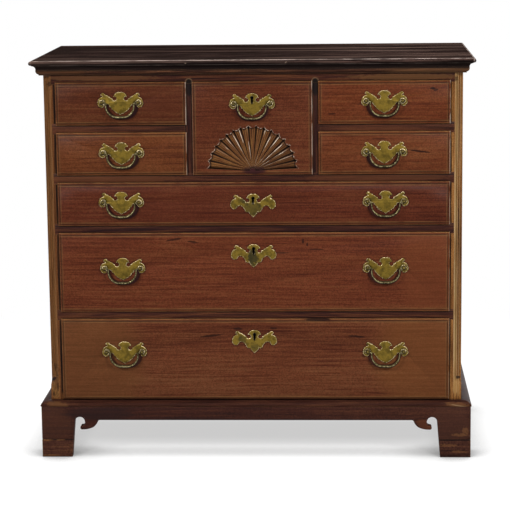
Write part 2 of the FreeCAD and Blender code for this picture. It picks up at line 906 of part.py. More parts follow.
def drawer_box(x0, x1, z0, z1):
    """Sides, back and bottom of a drawer, and the tails that the front is cut for."""
    left, right, low, high = body_box(x0, x1, z0, z1)
    high -= box_top_drop
    back_inner = box_end - box_back
    floor_low = low + bottom_lift
    floor_high = floor_low + box_bottom
    bottom = block(
        left + box_side - bottom_groove, right - box_side + bottom_groove,
        front_rear - bottom_groove, box_end, floor_low, floor_high,
    )
    sides = []
    front_tails = []
    for a, b in ((left, left + box_side), (right - box_side, right)):
        ahead = tails(a, b, front_rear, front_rear - front_tail_length, low, high)
        behind = tails(a, b, back_inner, box_end, floor_high, high)
        board = fused([block(a, b, front_rear, back_inner, low, high)] + ahead + behind)
        sides.append(board.cut(bottom))
        front_tails += ahead
    back = block(left, right, back_inner, box_end, floor_high, high)
    back = back.cut(Part.makeCompound(sides))
    return group(sides + [back, bottom]), front_tails, bottom


def fan_ray(hub):
    """What the carver takes away for one ray lying along +X: a sector down to a cone's surface.
    The cone's top line runs level from the hub, so the grooves on both sides sink outwards."""
    half_angle = math.radians(fan_spread / fan_rays / 2)
    half_width = fan_bow_radius * math.tan(half_angle)
    sink = fan_groove_depth - fan_crown_depth
    round_radius = (half_width ** 2 + sink ** 2) / (2 * sink)
    tilt = math.asin(round_radius / fan_bow_radius)
    reach = fan_tip_radius + fan_groove_depth

    def at_face(radius, angle):
        return hub + V(radius * math.cos(angle), -spare, radius * math.sin(angle))

    def in_section(out, depth):
        return hub + V(out, depth, -reach)

    tip = at_face(fan_tip_radius, half_angle)
    other_tip = at_face(fan_tip_radius, -half_angle)
    root = at_face(hub_radius, half_angle)
    other_root = at_face(hub_radius, -half_angle)
    edge = Part.Wire([
        Part.Arc(other_root, at_face(hub_radius, 0), root).toShape(),
        Part.LineSegment(root, tip).toShape(),
        Part.Arc(tip, at_face(fan_bow_radius, 0), other_tip).toShape(),
        Part.LineSegment(other_tip, other_root).toShape(),
    ])
    axis_end = (reach, fan_crown_depth + reach * math.tan(tilt))
    axis_start = (0, fan_crown_depth)
    above_axis = outline(in_section, (0, -spare), [((reach, -spare),), (axis_end,), (axis_start,)])
    sector = prism(edge, V(0, 2 * fan_groove_depth, 0)).common(prism(above_axis, V(0, 0, 2 * reach)))
    apex = hub + V(0, fan_crown_depth, 0)
    cone = Part.makeCone(0, reach * math.tan(tilt), reach, apex, V(math.cos(tilt), math.sin(tilt), 0))
    return sector.cut(cone)


def carved_fan(front, z0):
    """Cuts the fan into the deep drawer's front, with its hub just above the lower lip."""
    hub = V(0, front_face, z0 + fan_hub_rise)
    one = fan_ray(hub)
    step = fan_spread / fan_rays
    first = (180 - fan_spread + step) / 2
    rays = []
    for index in range(fan_rays):
        ray = one.copy()
        ray.rotate(hub, V(0, -1, 0), first + index * step)
        rays.append(ray)
    return front.cut(Part.makeCompound(rays))


def drawer(name, x0, x1, z0, z1, pulls, locked, carved=False):
    """All nodes of one drawer. Each pull is (side word, x, z)."""
    nodes = {}
    box, front_tails, bottom = drawer_box(x0, x1, z0, z1)
    front = lipped_front(x0, x1, z0, z1)
    if carved:
        front = carved_fan(front, z0)
    body_top = body_box(x0, x1, z0, z1)[3]
    plate_z = z1 - lock_drop
    middle = (x0 + x1) / 2
    fittings = []
    cutters = front_tails + [bottom]
    half = post_spacing / 2
    hole = shank_radius + shank_clearance
    depth = front_rear - front_face + 2 * spare
    for word, x, z in pulls:
        keyed = locked and abs(x - middle) < 1
        fittings += pull(x, z, keyed)
        nodes[f"{name}_{word}bail"] = bail(x, z)
        for side in (-half, half):
            cutters.append(cylinder(hole, V(x + side, front_face - spare, z), V(0, 1, 0), depth))
    if locked:
        if len(pulls) > 1:
            fittings.append(brass_plate(middle, plate_z, escutcheon_skirt, (), True))
        key_z = plate_z + keyhole_rise
        cutters.append(keyhole(front_face - spare, front_rear - lock_face, middle, key_z))
        reach = lock_width / 2
        cutters.append(block(
            middle - reach, middle + reach, front_rear - lock_thickness, front_rear + spare,
            body_top - lock_height, body_top + spare,
        ))
        fittings.append(lock_case(body_top, middle, key_z))
        nodes[f"{name}_lock_bolt"] = lock_bolt(body_top, middle)
    nodes[f"{name}_front"] = single(cut_all(front, cutters))
    nodes[f"{name}_box"] = box
    nodes[f"{name}_fittings"] = group(fittings)
    return nodes


def short_drawers():
    nodes = {}
    middle = (short_lip_inner + lip_half) / 2
    for row, lip in (("upper", high_short_lip), ("lower", low_short_lip)):
        pull_z = lip + short_drawer_height / 2 + short_pull_rise
        top = lip + short_drawer_height
        nodes.update(drawer(
            f"{row}_left_drawer", -lip_half, -short_lip_inner, lip, top, [("", -middle, pull_z)], False,
        ))
        nodes.update(drawer(
            f"{row}_right_drawer", short_lip_inner, lip_half, lip, top, [("", middle, pull_z)], False,
        ))
    return nodes


def long_drawer(name, lip, height, rise):
    pull_z = lip + height / 2 + rise
    pulls = [("left_", -long_pull_position, pull_z), ("right_", long_pull_position, pull_z)]
    return drawer(name, -lip_half, lip_half, lip, lip + height, pulls, True)


def all_nodes():
    base_front, base_right, base_left, foot_tips = base_boards()
    nodes = {
        "top_board": top_board(),
        "bed_moulding": bed_moulding(),
        "left_side": mirrored(case_side()),
        "right_side": case_side(),
        "left_corner_post": mirrored(corner_post()),
        "right_corner_post": corner_post(),
        "back_boards": back_boards(),
        "bottom_board": bottom_board(),
        "top_rail": top_rail(),
        "drawer_rails": drawer_rails(),
        "short_rails": short_rails(),
        "drawer_dividers": dividers(),
        "partitions": partitions(),
        "drawer_runners": drawer_runners(),
        "base_front": base_front,
        "base_left": base_left,
        "base_right": base_right,
        "foot_tips": foot_tips,
        "base_moulding": base_moulding(),
        "rear_foot_braces": rear_foot_braces(),
        "glue_blocks": glue_blocks(),
    }
    nodes.update(short_drawers())
    nodes.update(drawer(
        "fan_drawer", -fan_lip_half, fan_lip_half, low_short_lip, highest_lip,
        [("", 0.0, highest_lip - lock_drop)], True, carved=True,
    ))
    for name, lip, height, rise in (
        ("top_long_drawer", top_long_lip, top_long_drawer_height, top_long_pull_rise),
        ("middle_long_drawer", middle_lip, middle_drawer_height, middle_pull_rise),
        ("bottom_long_drawer", lowest_lip, bottom_drawer_height, bottom_pull_rise),
    ):
        nodes.update(long_drawer(name, lip, height, rise))
    return nodes


def main():
    os.makedirs("parts", exist_ok=True)
    for name, shape in all_nodes().items():
        shape.exportStep(f"parts/{name}.step")
        print(name, len(shape.Solids), "solids, valid", shape.isValid())


main()
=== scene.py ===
import json
import math

import bpy
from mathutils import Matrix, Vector

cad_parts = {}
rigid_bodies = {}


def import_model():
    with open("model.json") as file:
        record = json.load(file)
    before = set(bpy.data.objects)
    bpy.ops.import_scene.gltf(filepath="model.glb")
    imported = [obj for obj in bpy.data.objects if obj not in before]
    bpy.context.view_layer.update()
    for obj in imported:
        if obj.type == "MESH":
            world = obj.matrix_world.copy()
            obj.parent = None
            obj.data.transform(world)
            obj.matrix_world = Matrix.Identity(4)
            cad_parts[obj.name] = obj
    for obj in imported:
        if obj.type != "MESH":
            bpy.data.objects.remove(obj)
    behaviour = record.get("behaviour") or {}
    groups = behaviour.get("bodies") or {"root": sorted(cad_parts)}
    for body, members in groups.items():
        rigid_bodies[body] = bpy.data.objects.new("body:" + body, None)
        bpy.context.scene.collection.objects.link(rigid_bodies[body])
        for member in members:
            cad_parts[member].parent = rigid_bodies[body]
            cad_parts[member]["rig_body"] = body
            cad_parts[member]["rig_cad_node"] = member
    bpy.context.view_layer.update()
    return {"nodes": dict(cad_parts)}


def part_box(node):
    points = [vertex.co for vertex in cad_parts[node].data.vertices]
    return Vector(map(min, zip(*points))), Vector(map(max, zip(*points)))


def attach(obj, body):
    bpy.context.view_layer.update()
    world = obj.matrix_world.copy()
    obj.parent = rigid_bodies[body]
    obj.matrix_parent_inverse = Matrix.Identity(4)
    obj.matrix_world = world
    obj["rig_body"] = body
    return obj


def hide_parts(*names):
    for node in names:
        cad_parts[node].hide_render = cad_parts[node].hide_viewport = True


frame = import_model()
nodes = frame["nodes"]
print("frame loaded:", len(nodes), "nodes")


def deselectAll():
    if bpy.context.object and bpy.context.object.mode != "OBJECT":
        bpy.ops.object.mode_set(mode="OBJECT")
    bpy.ops.object.select_all(action="DESELECT")


def pickOnly(piece):
    deselectAll()
    piece.select_set(True)
    bpy.context.view_layer.objects.active = piece


def applyModifier(piece, kind, **settings):
    pickOnly(piece)
    modifier = piece.modifiers.new(kind.lower(), kind)
    for key, value in settings.items():
        setattr(modifier, key, value)
    bpy.ops.object.modifier_apply(modifier=modifier.name)


def copyOfNode(nodeName, pieceName):
    # a loose copy that no longer counts as the node
    pickOnly(nodes[nodeName])
    bpy.ops.object.duplicate()
    piece = bpy.context.object
    bpy.ops.object.parent_clear(type="CLEAR_KEEP_TRANSFORM")
    piece.name = pieceName
    piece.data.name = pieceName
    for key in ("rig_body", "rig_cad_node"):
        del piece[key]
    return piece


softening = {
    "mergeReach": 0.00001,
    "flatAngle": math.radians(0.4),
    "segments": 2,
    "edgeAngle": math.radians(28),    # edges that turn more than this are broken
    "smoothAngle": math.radians(38),
}


def mergeAndFlatten(piece):
    # loose triangles become one skin with whole flat faces
    pickOnly(piece)
    bpy.ops.object.mode_set(mode="EDIT")
    bpy.ops.mesh.select_all(action="SELECT")
    bpy.ops.mesh.remove_doubles(threshold=softening["mergeReach"])
    bpy.ops.mesh.dissolve_limited(angle_limit=softening["flatAngle"])
    bpy.ops.object.mode_set(mode="OBJECT")


def soften(piece, width):
    # breaks the sharp edges, as handling and polish do
    applyModifier(
        piece, "BEVEL", width=width, segments=softening["segments"], limit_method="ANGLE",
        angle_limit=softening["edgeAngle"], use_clamp_overlap=True, miter_outer="MITER_ARC",
    )
    pickOnly(piece)
    bpy.ops.object.shade_smooth_by_angle(angle=softening["smoothAngle"])


def camelName(nodeName):
    words = nodeName.split("_")
    return words[0] + "".join(word.capitalize() for word in words[1:])


def bodyOfNode(nodeName):
    return nodes[nodeName]["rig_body"]


def dress(nodeName, material, width):
    # a softened copy of a node takes the node's place
    piece = copyOfNode(nodeName, camelName(nodeName))
    mergeAndFlatten(piece)
    soften(piece, width)
    piece.data.materials.clear()
    piece.data.materials.append(material)
    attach(piece, bodyOfNode(nodeName))
    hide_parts(nodeName)


def finishNode(nodeName, material):
    # a node whose own shape is right only gets its finish
    node = nodes[nodeName]
    node.data.materials.clear()
    node.data.materials.append(material)


# the Mix node's colour sockets share their names with others, so they go by number
mixSockets = {"factor": 0, "first": 6, "second": 7, "result": 2}


def newMaterial(name):
    material = bpy.data.materials.new(name)
    material.use_nodes = True
    tree = material.node_tree
    shader = tree.nodes["Principled BSDF"]
    return material, tree, shader


def addNode(tree, kind, **settings):
    node = tree.nodes.new("ShaderNode" + kind)
    for key, value in settings.items():
        setattr(node, key, value)
    return node


def feed(tree, socket, value):
    if isinstance(value, bpy.types.NodeSocket):
        tree.links.new(value, socket)
    else:
        socket.default_value = value


def maths(tree, operation, *values, clamp=False):
    node = addNode(tree, "Math", operation=operation, use_clamp=clamp)
    for index, value in enumerate(values):
        feed(tree, node.inputs[index], value)
    return node.outputs[0]


def product(tree, *values):
    total = values[0]
    for value in values[1:]:
        total = maths(tree, "MULTIPLY", total, value)
    return total


def sumOfSquares(tree, *values):
    return maths(tree, "ADD", *(maths(tree, "MULTIPLY", value, value) for value in values))


def vectorMaths(tree, operation, *values):
    node = addNode(tree, "VectorMath", operation=operation)
    for index, value in enumerate(values):
        feed(tree, node.inputs[index], value)
    return node.outputs["Value"] if operation in ("LENGTH", "DOT_PRODUCT") else node.outputs["Vector"]


def blend(tree, factor, first, second):
    node = addNode(tree, "Mix", data_type="RGBA")
    feed(tree, node.inputs[mixSockets["factor"]], factor)
    for name, value in (("first", first), ("second", second)):
        if isinstance(value, tuple):
            value = (*value, 1.0)
        feed(tree, node.inputs[mixSockets[name]], value)
    return node.outputs[mixSockets["result"]]


def layOver(tree, base, colour, *shares):
    # lays a colour over the base, as thickly as the product of the shares says
    return blend(tree, product(tree, *shares), base, colour)


def mixShaders(tree, factor, first, second):
    node = addNode(tree, "MixShader")
    for socket, value in zip(node.inputs, (factor, first, second)):
        feed(tree, socket, value)
    return node.outputs[0]


def fade(tree, value, start, end, low=0.0, high=1.0):
    # a smooth step: low at start, high at end
    node = addNode(tree, "MapRange", interpolation_type="SMOOTHSTEP")
    for index, setting in enumerate((value, start, end, low, high)):
        feed(tree, node.inputs[index], setting)
    return node.outputs[0]


def noise(tree, vector, stretch, detail=3.0, roughness=0.55):
    scaled = vectorMaths(tree, "MULTIPLY", vector, stretch)
    node = addNode(tree, "TexNoise", noise_dimensions="3D")
    feed(tree, node.inputs["Vector"], scaled)
    node.inputs["Scale"].default_value = 1.0
    node.inputs["Detail"].default_value = detail
    node.inputs["Roughness"].default_value = roughness
    return node.outputs["Fac"]


def colourRamp(tree, factor, stops):
    node = addNode(tree, "ValToRGB")
    ramp = node.color_ramp
    while len(ramp.elements) < len(stops):
        ramp.elements.new(0.5)
    for element, (position, colour) in zip(ramp.elements, stops):
        element.position = position
        element.color = (*colour, 1.0)
    feed(tree, node.inputs["Fac"], factor)
    return node.outputs["Color"]


def objectPlace(tree):
    return addNode(tree, "TexCoord").outputs["Object"]


def axesOf(tree, vector):
    node = addNode(tree, "SeparateXYZ")
    feed(tree, node.inputs[0], vector)
    return node.outputs["X"], node.outputs["Y"], node.outputs["Z"]


maskSamples = 6


def edgeMask(tree, radius, start, end):
    # how near a point is to an edge: rounded normal against the real one
    rounded = addNode(tree, "Bevel", samples=maskSamples)
    rounded.inputs["Radius"].default_value = radius
    real = addNode(tree, "NewGeometry").outputs["Normal"]
    facing = vectorMaths(tree, "DOT_PRODUCT", rounded.outputs["Normal"], real)
    return fade(tree, maths(tree, "SUBTRACT", 1.0, facing), start, end)


def crevice(tree, reach, start, end):
    # 1 in corners and grooves, 0 on open faces
    shade = addNode(tree, "AmbientOcclusion", samples=maskSamples, only_local=False)
    shade.inputs["Distance"].default_value = reach
    return fade(tree, shade.outputs["AO"], start, end)


def bumped(tree, height, depth, strength, normal=None):
    bump = addNode(tree, "Bump")
    bump.inputs["Distance"].default_value = depth
    bump.inputs["Strength"].default_value = strength
    feed(tree, bump.inputs["Height"], height)
    if normal:
        feed(tree, bump.inputs["Normal"], normal)
    return bump.outputs["Normal"]


# near black: old dirt, and painted shade in corners, valleys and under overhangs
shadeAndDirt = (0.006, 0.004, 0.004)
black = (0.004, 0.003, 0.003)
grainTurns = {"X": (0.0, 0.0, 0.0), "Y": (0.0, 0.0, math.pi / 2), "Z": (0.0, math.pi / 2, 0.0)}

woodBasics = {
    "grain": "X",            # which way the boards run
    "board": (0.0, 0.0, 0.0),  # which part of the log the board comes from
    "dark": (0.046, 0.0105, 0.0052),
    "middle": (0.100, 0.0240, 0.0092),
    "light": (0.142, 0.046, 0.0160),
    "tones": (0.30, 0.50, 0.72),  # where in the figure the three colours lie
    "tint": (1.0, 1.0, 1.0),
    "speckle": 0.30,         # the fine crackle of the old finish
    "ringScale": 26.0,
    "ringShare": 0.08,
    "streakShare": 0.75,
    "cloudShare": 0.32,
    "broadShare": 0.8,       # of the clouds' share
    "pores": 0.30,
    "gloss": 0.04,
    "roughness": 0.42,
    "roughShares": {"streaks": 0.28, "clouds": 0.20},
    "bump": 0.35,
    # lighter edges: partly wear, partly painted highlight
    "worn": (0.20, 0.105, 0.04),
    "wear": 0.5,
    "wearReach": 0.0022,
    # darker corners: partly dirt, partly painted shade
    "grime": 0.7,
    "grimeReach": 0.010,
    "grimeRange": (0.75, 0.25),
}
grainSway = {"Y": 0.012, "Z": 0.022}     # how far the grain wanders across the board
rings = {"Distortion": 2.2, "Detail": 2.0, "Detail Scale": 1.6}
ringStretch = (0.22, 1.0, 1.0)
wearAndHighlightRange = (0.01, 0.16)
poreRange = (0.52, 0.70)
crackleRange = (0.32, 0.68)
planingDepth = 0.0012
fibreDepth = 0.00018
fibreCut = -0.6              # open fibres lie below the streaks

# each noise's stretch along and across the grain, its detail and its roughness;
# the last two get their stretch where they are used
figures = {
    "drift": ((1.4, 6.0, 6.0), 1.0),
    "streaks": ((9.0, 330.0, 330.0), 5.0, 0.62),
    "broad": ((2.2, 44.0, 44.0), 3.0),
    "fibres": ((48.0, 900.0, 900.0), 2.0, 0.6),
    "clouds": ((3.4, 7.5, 7.5), 3.0),
    "planing": ((7.0, 26.0, 26.0), 1.0),
    "specks": ((430.0, 430.0, 430.0), 2.0, 0.7),
    "broadGrain": (5.0, 0.68),
    "tears": (4.0, 0.65),
}
# what breaks up a line or an edge: the noise's stretch, and where it starts and stops
breaks = {
    "wear": ((14.0, 40.0, 40.0), 0.30, 0.58),
    "edge": ((24.0, 24.0, 24.0), 0.34, 0.58),
    "post": ((60.0, 60.0, 9.0), 0.36, 0.60),
    "rail": ((16.0, 40.0, 40.0), 0.34, 0.56),
}


def broken(tree, place, kind, least=0.0):
    stretch, start, end = breaks[kind]
    return fade(tree, noise(tree, place, stretch), start, end, least, 1.0)


def offMiddle(tree, value):
    # a noise counted from its middle
    return maths(tree, "SUBTRACT", value, 0.5)


def grainOf(tree, look, place):
    # the place along the board, and the same with the grain's wandering
    turn = addNode(tree, "Mapping")
    turn.inputs["Rotation"].default_value = grainTurns[look["grain"]]
    turn.inputs["Location"].default_value = look["board"]
    feed(tree, turn.inputs["Vector"], place)
    along = turn.outputs["Vector"]
    drift = offMiddle(tree, noise(tree, along, *figures["drift"]))
    sway = addNode(tree, "CombineXYZ")
    for axis, reach in grainSway.items():
        feed(tree, sway.inputs[axis], maths(tree, "MULTIPLY", drift, reach))
    return along, vectorMaths(tree, "ADD", along, sway.outputs[0])


def ringsOf(tree, look, grain):
    wave = addNode(tree, "TexWave", wave_type="RINGS", rings_direction="X", wave_profile="SAW")
    feed(tree, wave.inputs["Vector"], vectorMaths(tree, "MULTIPLY", grain, ringStretch))
    wave.inputs["Scale"].default_value = look["ringScale"]
    for name, value in rings.items():
        wave.inputs[name].default_value = value
    return wave.outputs["Fac"]


def boardColour(tree, look, place, grain, streaks, clouds, fibres):
    parts = (
        (streaks, look["streakShare"]),
        (clouds, look["cloudShare"]),
        (noise(tree, grain, *figures["broad"]), look["cloudShare"] * look["broadShare"]),
        (ringsOf(tree, look, grain), look["ringShare"]),
    )
    tone = 0.5
    for part, share in parts:
        tone = maths(tree, "ADD", tone, maths(tree, "MULTIPLY", offMiddle(tree, part), share))
    colours = (look["dark"], look["middle"], look["light"])
    colour = colourRamp(tree, tone, list(zip(look["tones"], colours)))
    colour = vectorMaths(tree, "MULTIPLY", colour, look["tint"])
    specks = noise(tree, place, *figures["specks"])
    crackle = fade(tree, specks, *crackleRange, 1.0 - look["speckle"], 1.0 + look["speckle"])
    colour = vectorMaths(tree, "MULTIPLY", colour, crackle)
    return layOver(tree, colour, look["dark"], fade(tree, fibres, *poreRange), look["pores"])


def wearHighlightDirtAndShade(tree, look, along, colour):
    # lighter edges: partly wear, partly painted highlight
    if look["wear"]:
        edges = edgeMask(tree, look["wearReach"], *wearAndHighlightRange)
        colour = layOver(tree, colour, look["worn"], edges, look["wear"], broken(tree, along, "wear"))
    if look["grime"]:
        # darker in corners and grooves: partly old dirt, partly painted shade
        corners = crevice(tree, look["grimeReach"], *look["grimeRange"])
        colour = layOver(tree, colour, shadeAndDirt, corners, look["grime"])
    return colour


def makeWood(name, **changes):
    look = dict(woodBasics, **changes)
    material, tree, shader = newMaterial(name)
    place = objectPlace(tree)
    along, grain = grainOf(tree, look, place)
    streaks = noise(tree, grain, *figures["streaks"])
    fibres = noise(tree, grain, *figures["fibres"])
    clouds = noise(tree, along, *figures["clouds"])

    colour = boardColour(tree, look, place, grain, streaks, clouds, fibres)
    for extra in look.get("extras", ()):
        colour = extra(tree, place, colour, clouds)
    feed(tree, shader.inputs["Base Color"], wearHighlightDirtAndShade(tree, look, along, colour))
    shader.inputs["Specular IOR Level"].default_value = look["gloss"]

    rough = look["roughness"]
    for part, key in ((streaks, "streaks"), (clouds, "clouds")):
        rough = maths(tree, "MULTIPLY_ADD", offMiddle(tree, part), look["roughShares"][key], rough)
    feed(tree, shader.inputs["Roughness"], rough)

    planing = noise(tree, along, *figures["planing"])
    planed = bumped(tree, planing, planingDepth, look["bump"])
    fine = maths(tree, "MULTIPLY_ADD", fibres, fibreCut, streaks)
    feed(tree, shader.inputs["Normal"], bumped(tree, fine, fibreDepth, look["bump"], planed))
    return material


def sidesOf(tree, place, nodeName):
    # how far a point is from each side of a piece's box
    low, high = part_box(nodeName)
    x, y, z = axesOf(tree, place)
    return {
        "left": maths(tree, "SUBTRACT", x, low.x), "right": maths(tree, "SUBTRACT", high.x, x),
        "front": maths(tree, "SUBTRACT", y, low.y), "back": maths(tree, "SUBTRACT", high.y, y),
        "bottom": maths(tree, "SUBTRACT", z, low.z), "top": maths(tree, "SUBTRACT", high.z, z),
    }


# how the marks on the wood begin and end
markEdges = {
    "lineCore": 0.35,        # how much of a line's half width is at full strength
    "sideCore": 0.4,         # and of a shaded side
    "sideRagged": 0.8,       # how far that side's edge wanders, against its reach
    "patch": (1.25, 0.5),
    "figure": (0.46, 0.62),
    "postFoot": (0.150, 0.160),  # the lines down a post begin between these heights
}
# the painted shadow under each drawer's lip
lipShadowLine = {
    "below": 0.0013,         # from the lip's lower edge to the line's middle
    "reach": 0.0017,
    "share": 0.92,
    "least": 0.50,
}
# the painted shadow under each bail
bailShadowLook = {
    "below": 0.0022,         # from the pins to its centre
    "halfWidth": 0.0087,     # of the flat core that it runs round
    "depth": 0.0075,         # and how far the core reaches below the centre
    "radius": 0.0268,        # from the core to the middle of the painted shadow
    "reach": 0.0066,
    "upperFade": (0.002, -0.006),
    "strength": (0.30, 0.56, 0.60, 0.92),
    "colour": (0.012, 0.005, 0.006),
}


def band(tree, value, middle, reach):
    # 1 at a value, falling to 0 on both sides of it
    away = maths(tree, "ABSOLUTE", maths(tree, "SUBTRACT", value, middle))
    return fade(tree, away, reach, reach * markEdges["lineCore"])


def wornAndLitLine(nodeName, sides, middle, reach, colour, least=0.30):
    # a thin line beside some edges of a piece, stronger here and there: partly wear, partly painted highlight
    def paint(tree, place, base, clouds):
        away = sidesOf(tree, place, nodeName)
        patchy = broken(tree, place, "edge", least)
        for side, share in sides.items():
            base = layOver(tree, base, colour, band(tree, away[side], middle, reach), patchy, share)
        return base

    return paint


def broadGrain(stretch, colour, shares, start, end):
    # wide soft streaks along a board, used for painted sheen and painted shade, and how strong they are at
    # two places along it
    def paint(tree, place, base, clouds):
        figure = fade(tree, noise(tree, place, stretch, *figures["broadGrain"]), *markEdges["figure"])
        x = axesOf(tree, place)[0]
        return layOver(tree, base, colour, figure, fade(tree, x, start, end, *shares))

    return paint


def shadedSide(nodeName, side, reach, share, colour=shadeAndDirt):
    # a tone that thins out away from one side of a piece
    def paint(tree, place, base, clouds):
        away = sidesOf(tree, place, nodeName)[side]
        swing = reach * markEdges["sideRagged"]
        ragged = maths(tree, "MULTIPLY_ADD", offMiddle(tree, clouds), swing, away)
        shade = fade(tree, ragged, reach, reach * markEdges["sideCore"], 0.0, share)
        return blend(tree, shade, base, colour)

    return paint


def uprightLines(lines, colour, least=0.30):
    # lines down a post: pale lines of wear and painted highlight on the ridges, and dark lines of dirt and
    # painted shade in the flutes and gaps; each is (x, reach, share)
    def paint(tree, place, base, clouds):
        x, _, z = axesOf(tree, place)
        patchy = product(tree, broken(tree, place, "post", least), fade(tree, z, *markEdges["postFoot"]))
        for middle, reach, share in lines:
            base = layOver(tree, base, colour, band(tree, x, middle, reach), patchy, share)
        return base

    return paint


def shadowUnderLips(*drawers):
    # a painted shadow: the black line on a rail close under a drawer's lip
    def paint(tree, place, base, clouds):
        z = axesOf(tree, place)[2]
        patchy = broken(tree, place, "rail", lipShadowLine["least"])
        for drawer in drawers:
            lipLow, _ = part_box(drawer + "_front")
            line = band(tree, z, lipLow.z - lipShadowLine["below"], lipShadowLine["reach"])
            base = layOver(tree, base, black, line, patchy, lipShadowLine["share"])
        return base

    return paint


def stepDirtAndShade(nodeName, middle, reach, share, colour):
    # old polish and dirt where the lip's moulding meets the raised field, with painted shade in that step
    def paint(tree, place, base, clouds):
        away = sidesOf(tree, place, nodeName)
        across = maths(tree, "MINIMUM", away["left"], away["right"])
        nearest = maths(tree, "MINIMUM", across, maths(tree, "MINIMUM", away["bottom"], away["top"]))
        return layOver(tree, base, colour, band(tree, nearest, middle, reach), share)

    return paint


def bailShadow(pulls):
    # a painted shadow close under a hanging bail, shifted to one side; each is (x, z, side shift)
    def paint(tree, place, base, clouds):
        for x, z, shift in pulls:
            offset = vectorMaths(tree, "SUBTRACT", place, (x + shift, 0.0, z - bailShadowLook["below"]))
            across, _, up = axesOf(tree, offset)
            outside = maths(tree, "SUBTRACT", maths(tree, "ABSOLUTE", across), bailShadowLook["halfWidth"])
            beside = maths(tree, "MAXIMUM", outside, 0.0)
            below = maths(tree, "MINIMUM", maths(tree, "ADD", up, bailShadowLook["depth"]), 0.0)
            away = maths(tree, "SQRT", sumOfSquares(tree, beside, below))
            base = layOver(
                tree, base, bailShadowLook["colour"],
                band(tree, away, bailShadowLook["radius"], bailShadowLook["reach"]),
                fade(tree, up, *bailShadowLook["upperFade"]),
                fade(tree, clouds, *bailShadowLook["strength"]),
            )
        return base

    return paint


def patches(marks, colour=(0.012, 0.005, 0.004), raggedness=2.4, tears=(90.0, 60.0, 260.0)):
    # knots, shakes, stains and nicks, and patches of painted light and shade; each is (x, z, half length,
    # half height, slope, strength)
    def paint(tree, place, base, clouds):
        ragged = offMiddle(tree, noise(tree, place, tears, *figures["tears"]))
        for x, z, length, height, slope, strength in marks:
            offset = vectorMaths(tree, "SUBTRACT", place, (x, 0.0, z))
            across, _, up = axesOf(tree, offset)
            level = maths(tree, "MULTIPLY_ADD", across, -slope, up)
            level = maths(tree, "DIVIDE", level, height)
            across = maths(tree, "DIVIDE", across, length)
            size = maths(tree, "MULTIPLY_ADD", ragged, raggedness, sumOfSquares(tree, across, level))
            base = layOver(tree, base, colour, fade(tree, size, *markEdges["patch"]), strength)
        return base

    return paint


def bothSides(x, *rest):
    # the same mark on the left and on the right of the chest
    return [(-x, *rest), (x, *rest)]


fanCarving = {
    "rays": 17,
    "spread": math.radians(173.2),
    "hubHeight": 0.697,
    "tip": 0.108,            # the radius where the grooves end
    "bow": 0.102,            # and at the middle of each ray's end
    "start": (0.006, 0.009),  # the rays begin between these radii
    "outside": 0.06,         # how far the tones fade past the first and last groove, in rays
    "inside": 0.02,          # and how far within them they are whole
    "rimSoftness": 0.0006,
    "along": 30.0,           # how the noises run with the rays
    "across": 6.0,
    "cuts": ((0.36, 0.90), (0.64, 0.97)),  # dark gouge marks: part of a ray, share
    "cutReach": 0.10,
    "flanks": (0.24, 0.76),  # the parts of a ray that carry the painted highlight on the left and on the right
    "flankReach": 0.065,
    "polished": (1.95, 0.9),  # middle angles of the two groups of rays that shine
    "polishedReach": 0.75,
    "wall": (-0.0012, 0.0018),  # middle and reach of the painted shade on the wall, from the rays' ends
    "wallShare": 0.75,
    "lip": (0.0012, 0.0012),  # and of the painted highlight on the lip outside it
    "lipShare": 0.55,
    "hub": [(0.004, 0.6985, 0.028, 0.0100, 0.0, 0.9)],  # the dark where the rays meet
    "hubRaggedness": 1.5,
}
fanColours = {
    "petal": (0.128, 0.050, 0.0155),
    "gold": (0.240, 0.120, 0.036),
    "shade": (0.022, 0.008, 0.005),
    "valley": shadeAndDirt,
    "polish": (0.62, 0.52, 0.42),
    "hub": (0.024, 0.007, 0.009),
}
fanFigures = {
    "grain": ((1.0, 1.0, 1.0), 3.0),
    "fine": ((0.8, 6.0, 1.0), 2.0),
    "lit": ((0.9, 0.5, 1.0), 2.0),
}
# where each tone starts and stops, and how strong it is at both ends
fanFades = {
    "petal": (0.34, 0.60, 0.10, 0.95),
    "gold": (0.50, 0.62, 0.0, 0.8),
    "farSide": (1.25, 0.35, 0.0, 0.45),
    "cut": (0.62, 0.44, 0.2, 1.0),
    "lit": (0.44, 0.60),
    "leftHalf": (1.35, 1.45),
    "polish": (0.02, 0.05, 0.35, 1.0),
    "valley": (0.66, 0.90),
    "valleyDepth": (0.008, 0.05, 0.35, 0.97),
}


def fanPlaces(tree, place):
    # where a point lies on the fan
    x, _, z = axesOf(tree, place)
    up = maths(tree, "SUBTRACT", z, fanCarving["hubHeight"])
    radius = maths(tree, "SQRT", sumOfSquares(tree, x, up))
    angle = maths(tree, "ARCTAN2", up, x)
    rays, outside, inside = fanCarving["rays"], fanCarving["outside"], fanCarving["inside"]
    first = (math.pi - fanCarving["spread"]) / 2
    ray = maths(tree, "DIVIDE", maths(tree, "SUBTRACT", angle, first), fanCarving["spread"] / rays)
    part = maths(tree, "FRACT", ray)
    aside = maths(tree, "ABSOLUTE", maths(tree, "MULTIPLY_ADD", part, 2.0, -1.0))
    spread = product(tree, fade(tree, ray, -outside, inside), fade(tree, ray, rays + outside, rays - inside))
    tip, bow = fanCarving["tip"], fanCarving["bow"]
    rim = maths(tree, "MULTIPLY_ADD", product(tree, aside, aside), tip - bow, bow)
    beyond = maths(tree, "SUBTRACT", radius, rim)
    rimFade = fade(tree, beyond, fanCarving["rimSoftness"], -fanCarving["rimSoftness"])
    return {
        "radius": radius, "angle": angle, "ray": ray,
        "part": part,            # 0 to 1 across a ray
        "aside": aside,          # 0 along its ridge, 1 in the grooves
        "spread": spread,        # 1 between the first and the last groove
        "beyond": beyond,        # how far outside the rays' ends
        "carved": product(tree, rimFade, fade(tree, radius, *fanCarving["start"]), spread),
    }


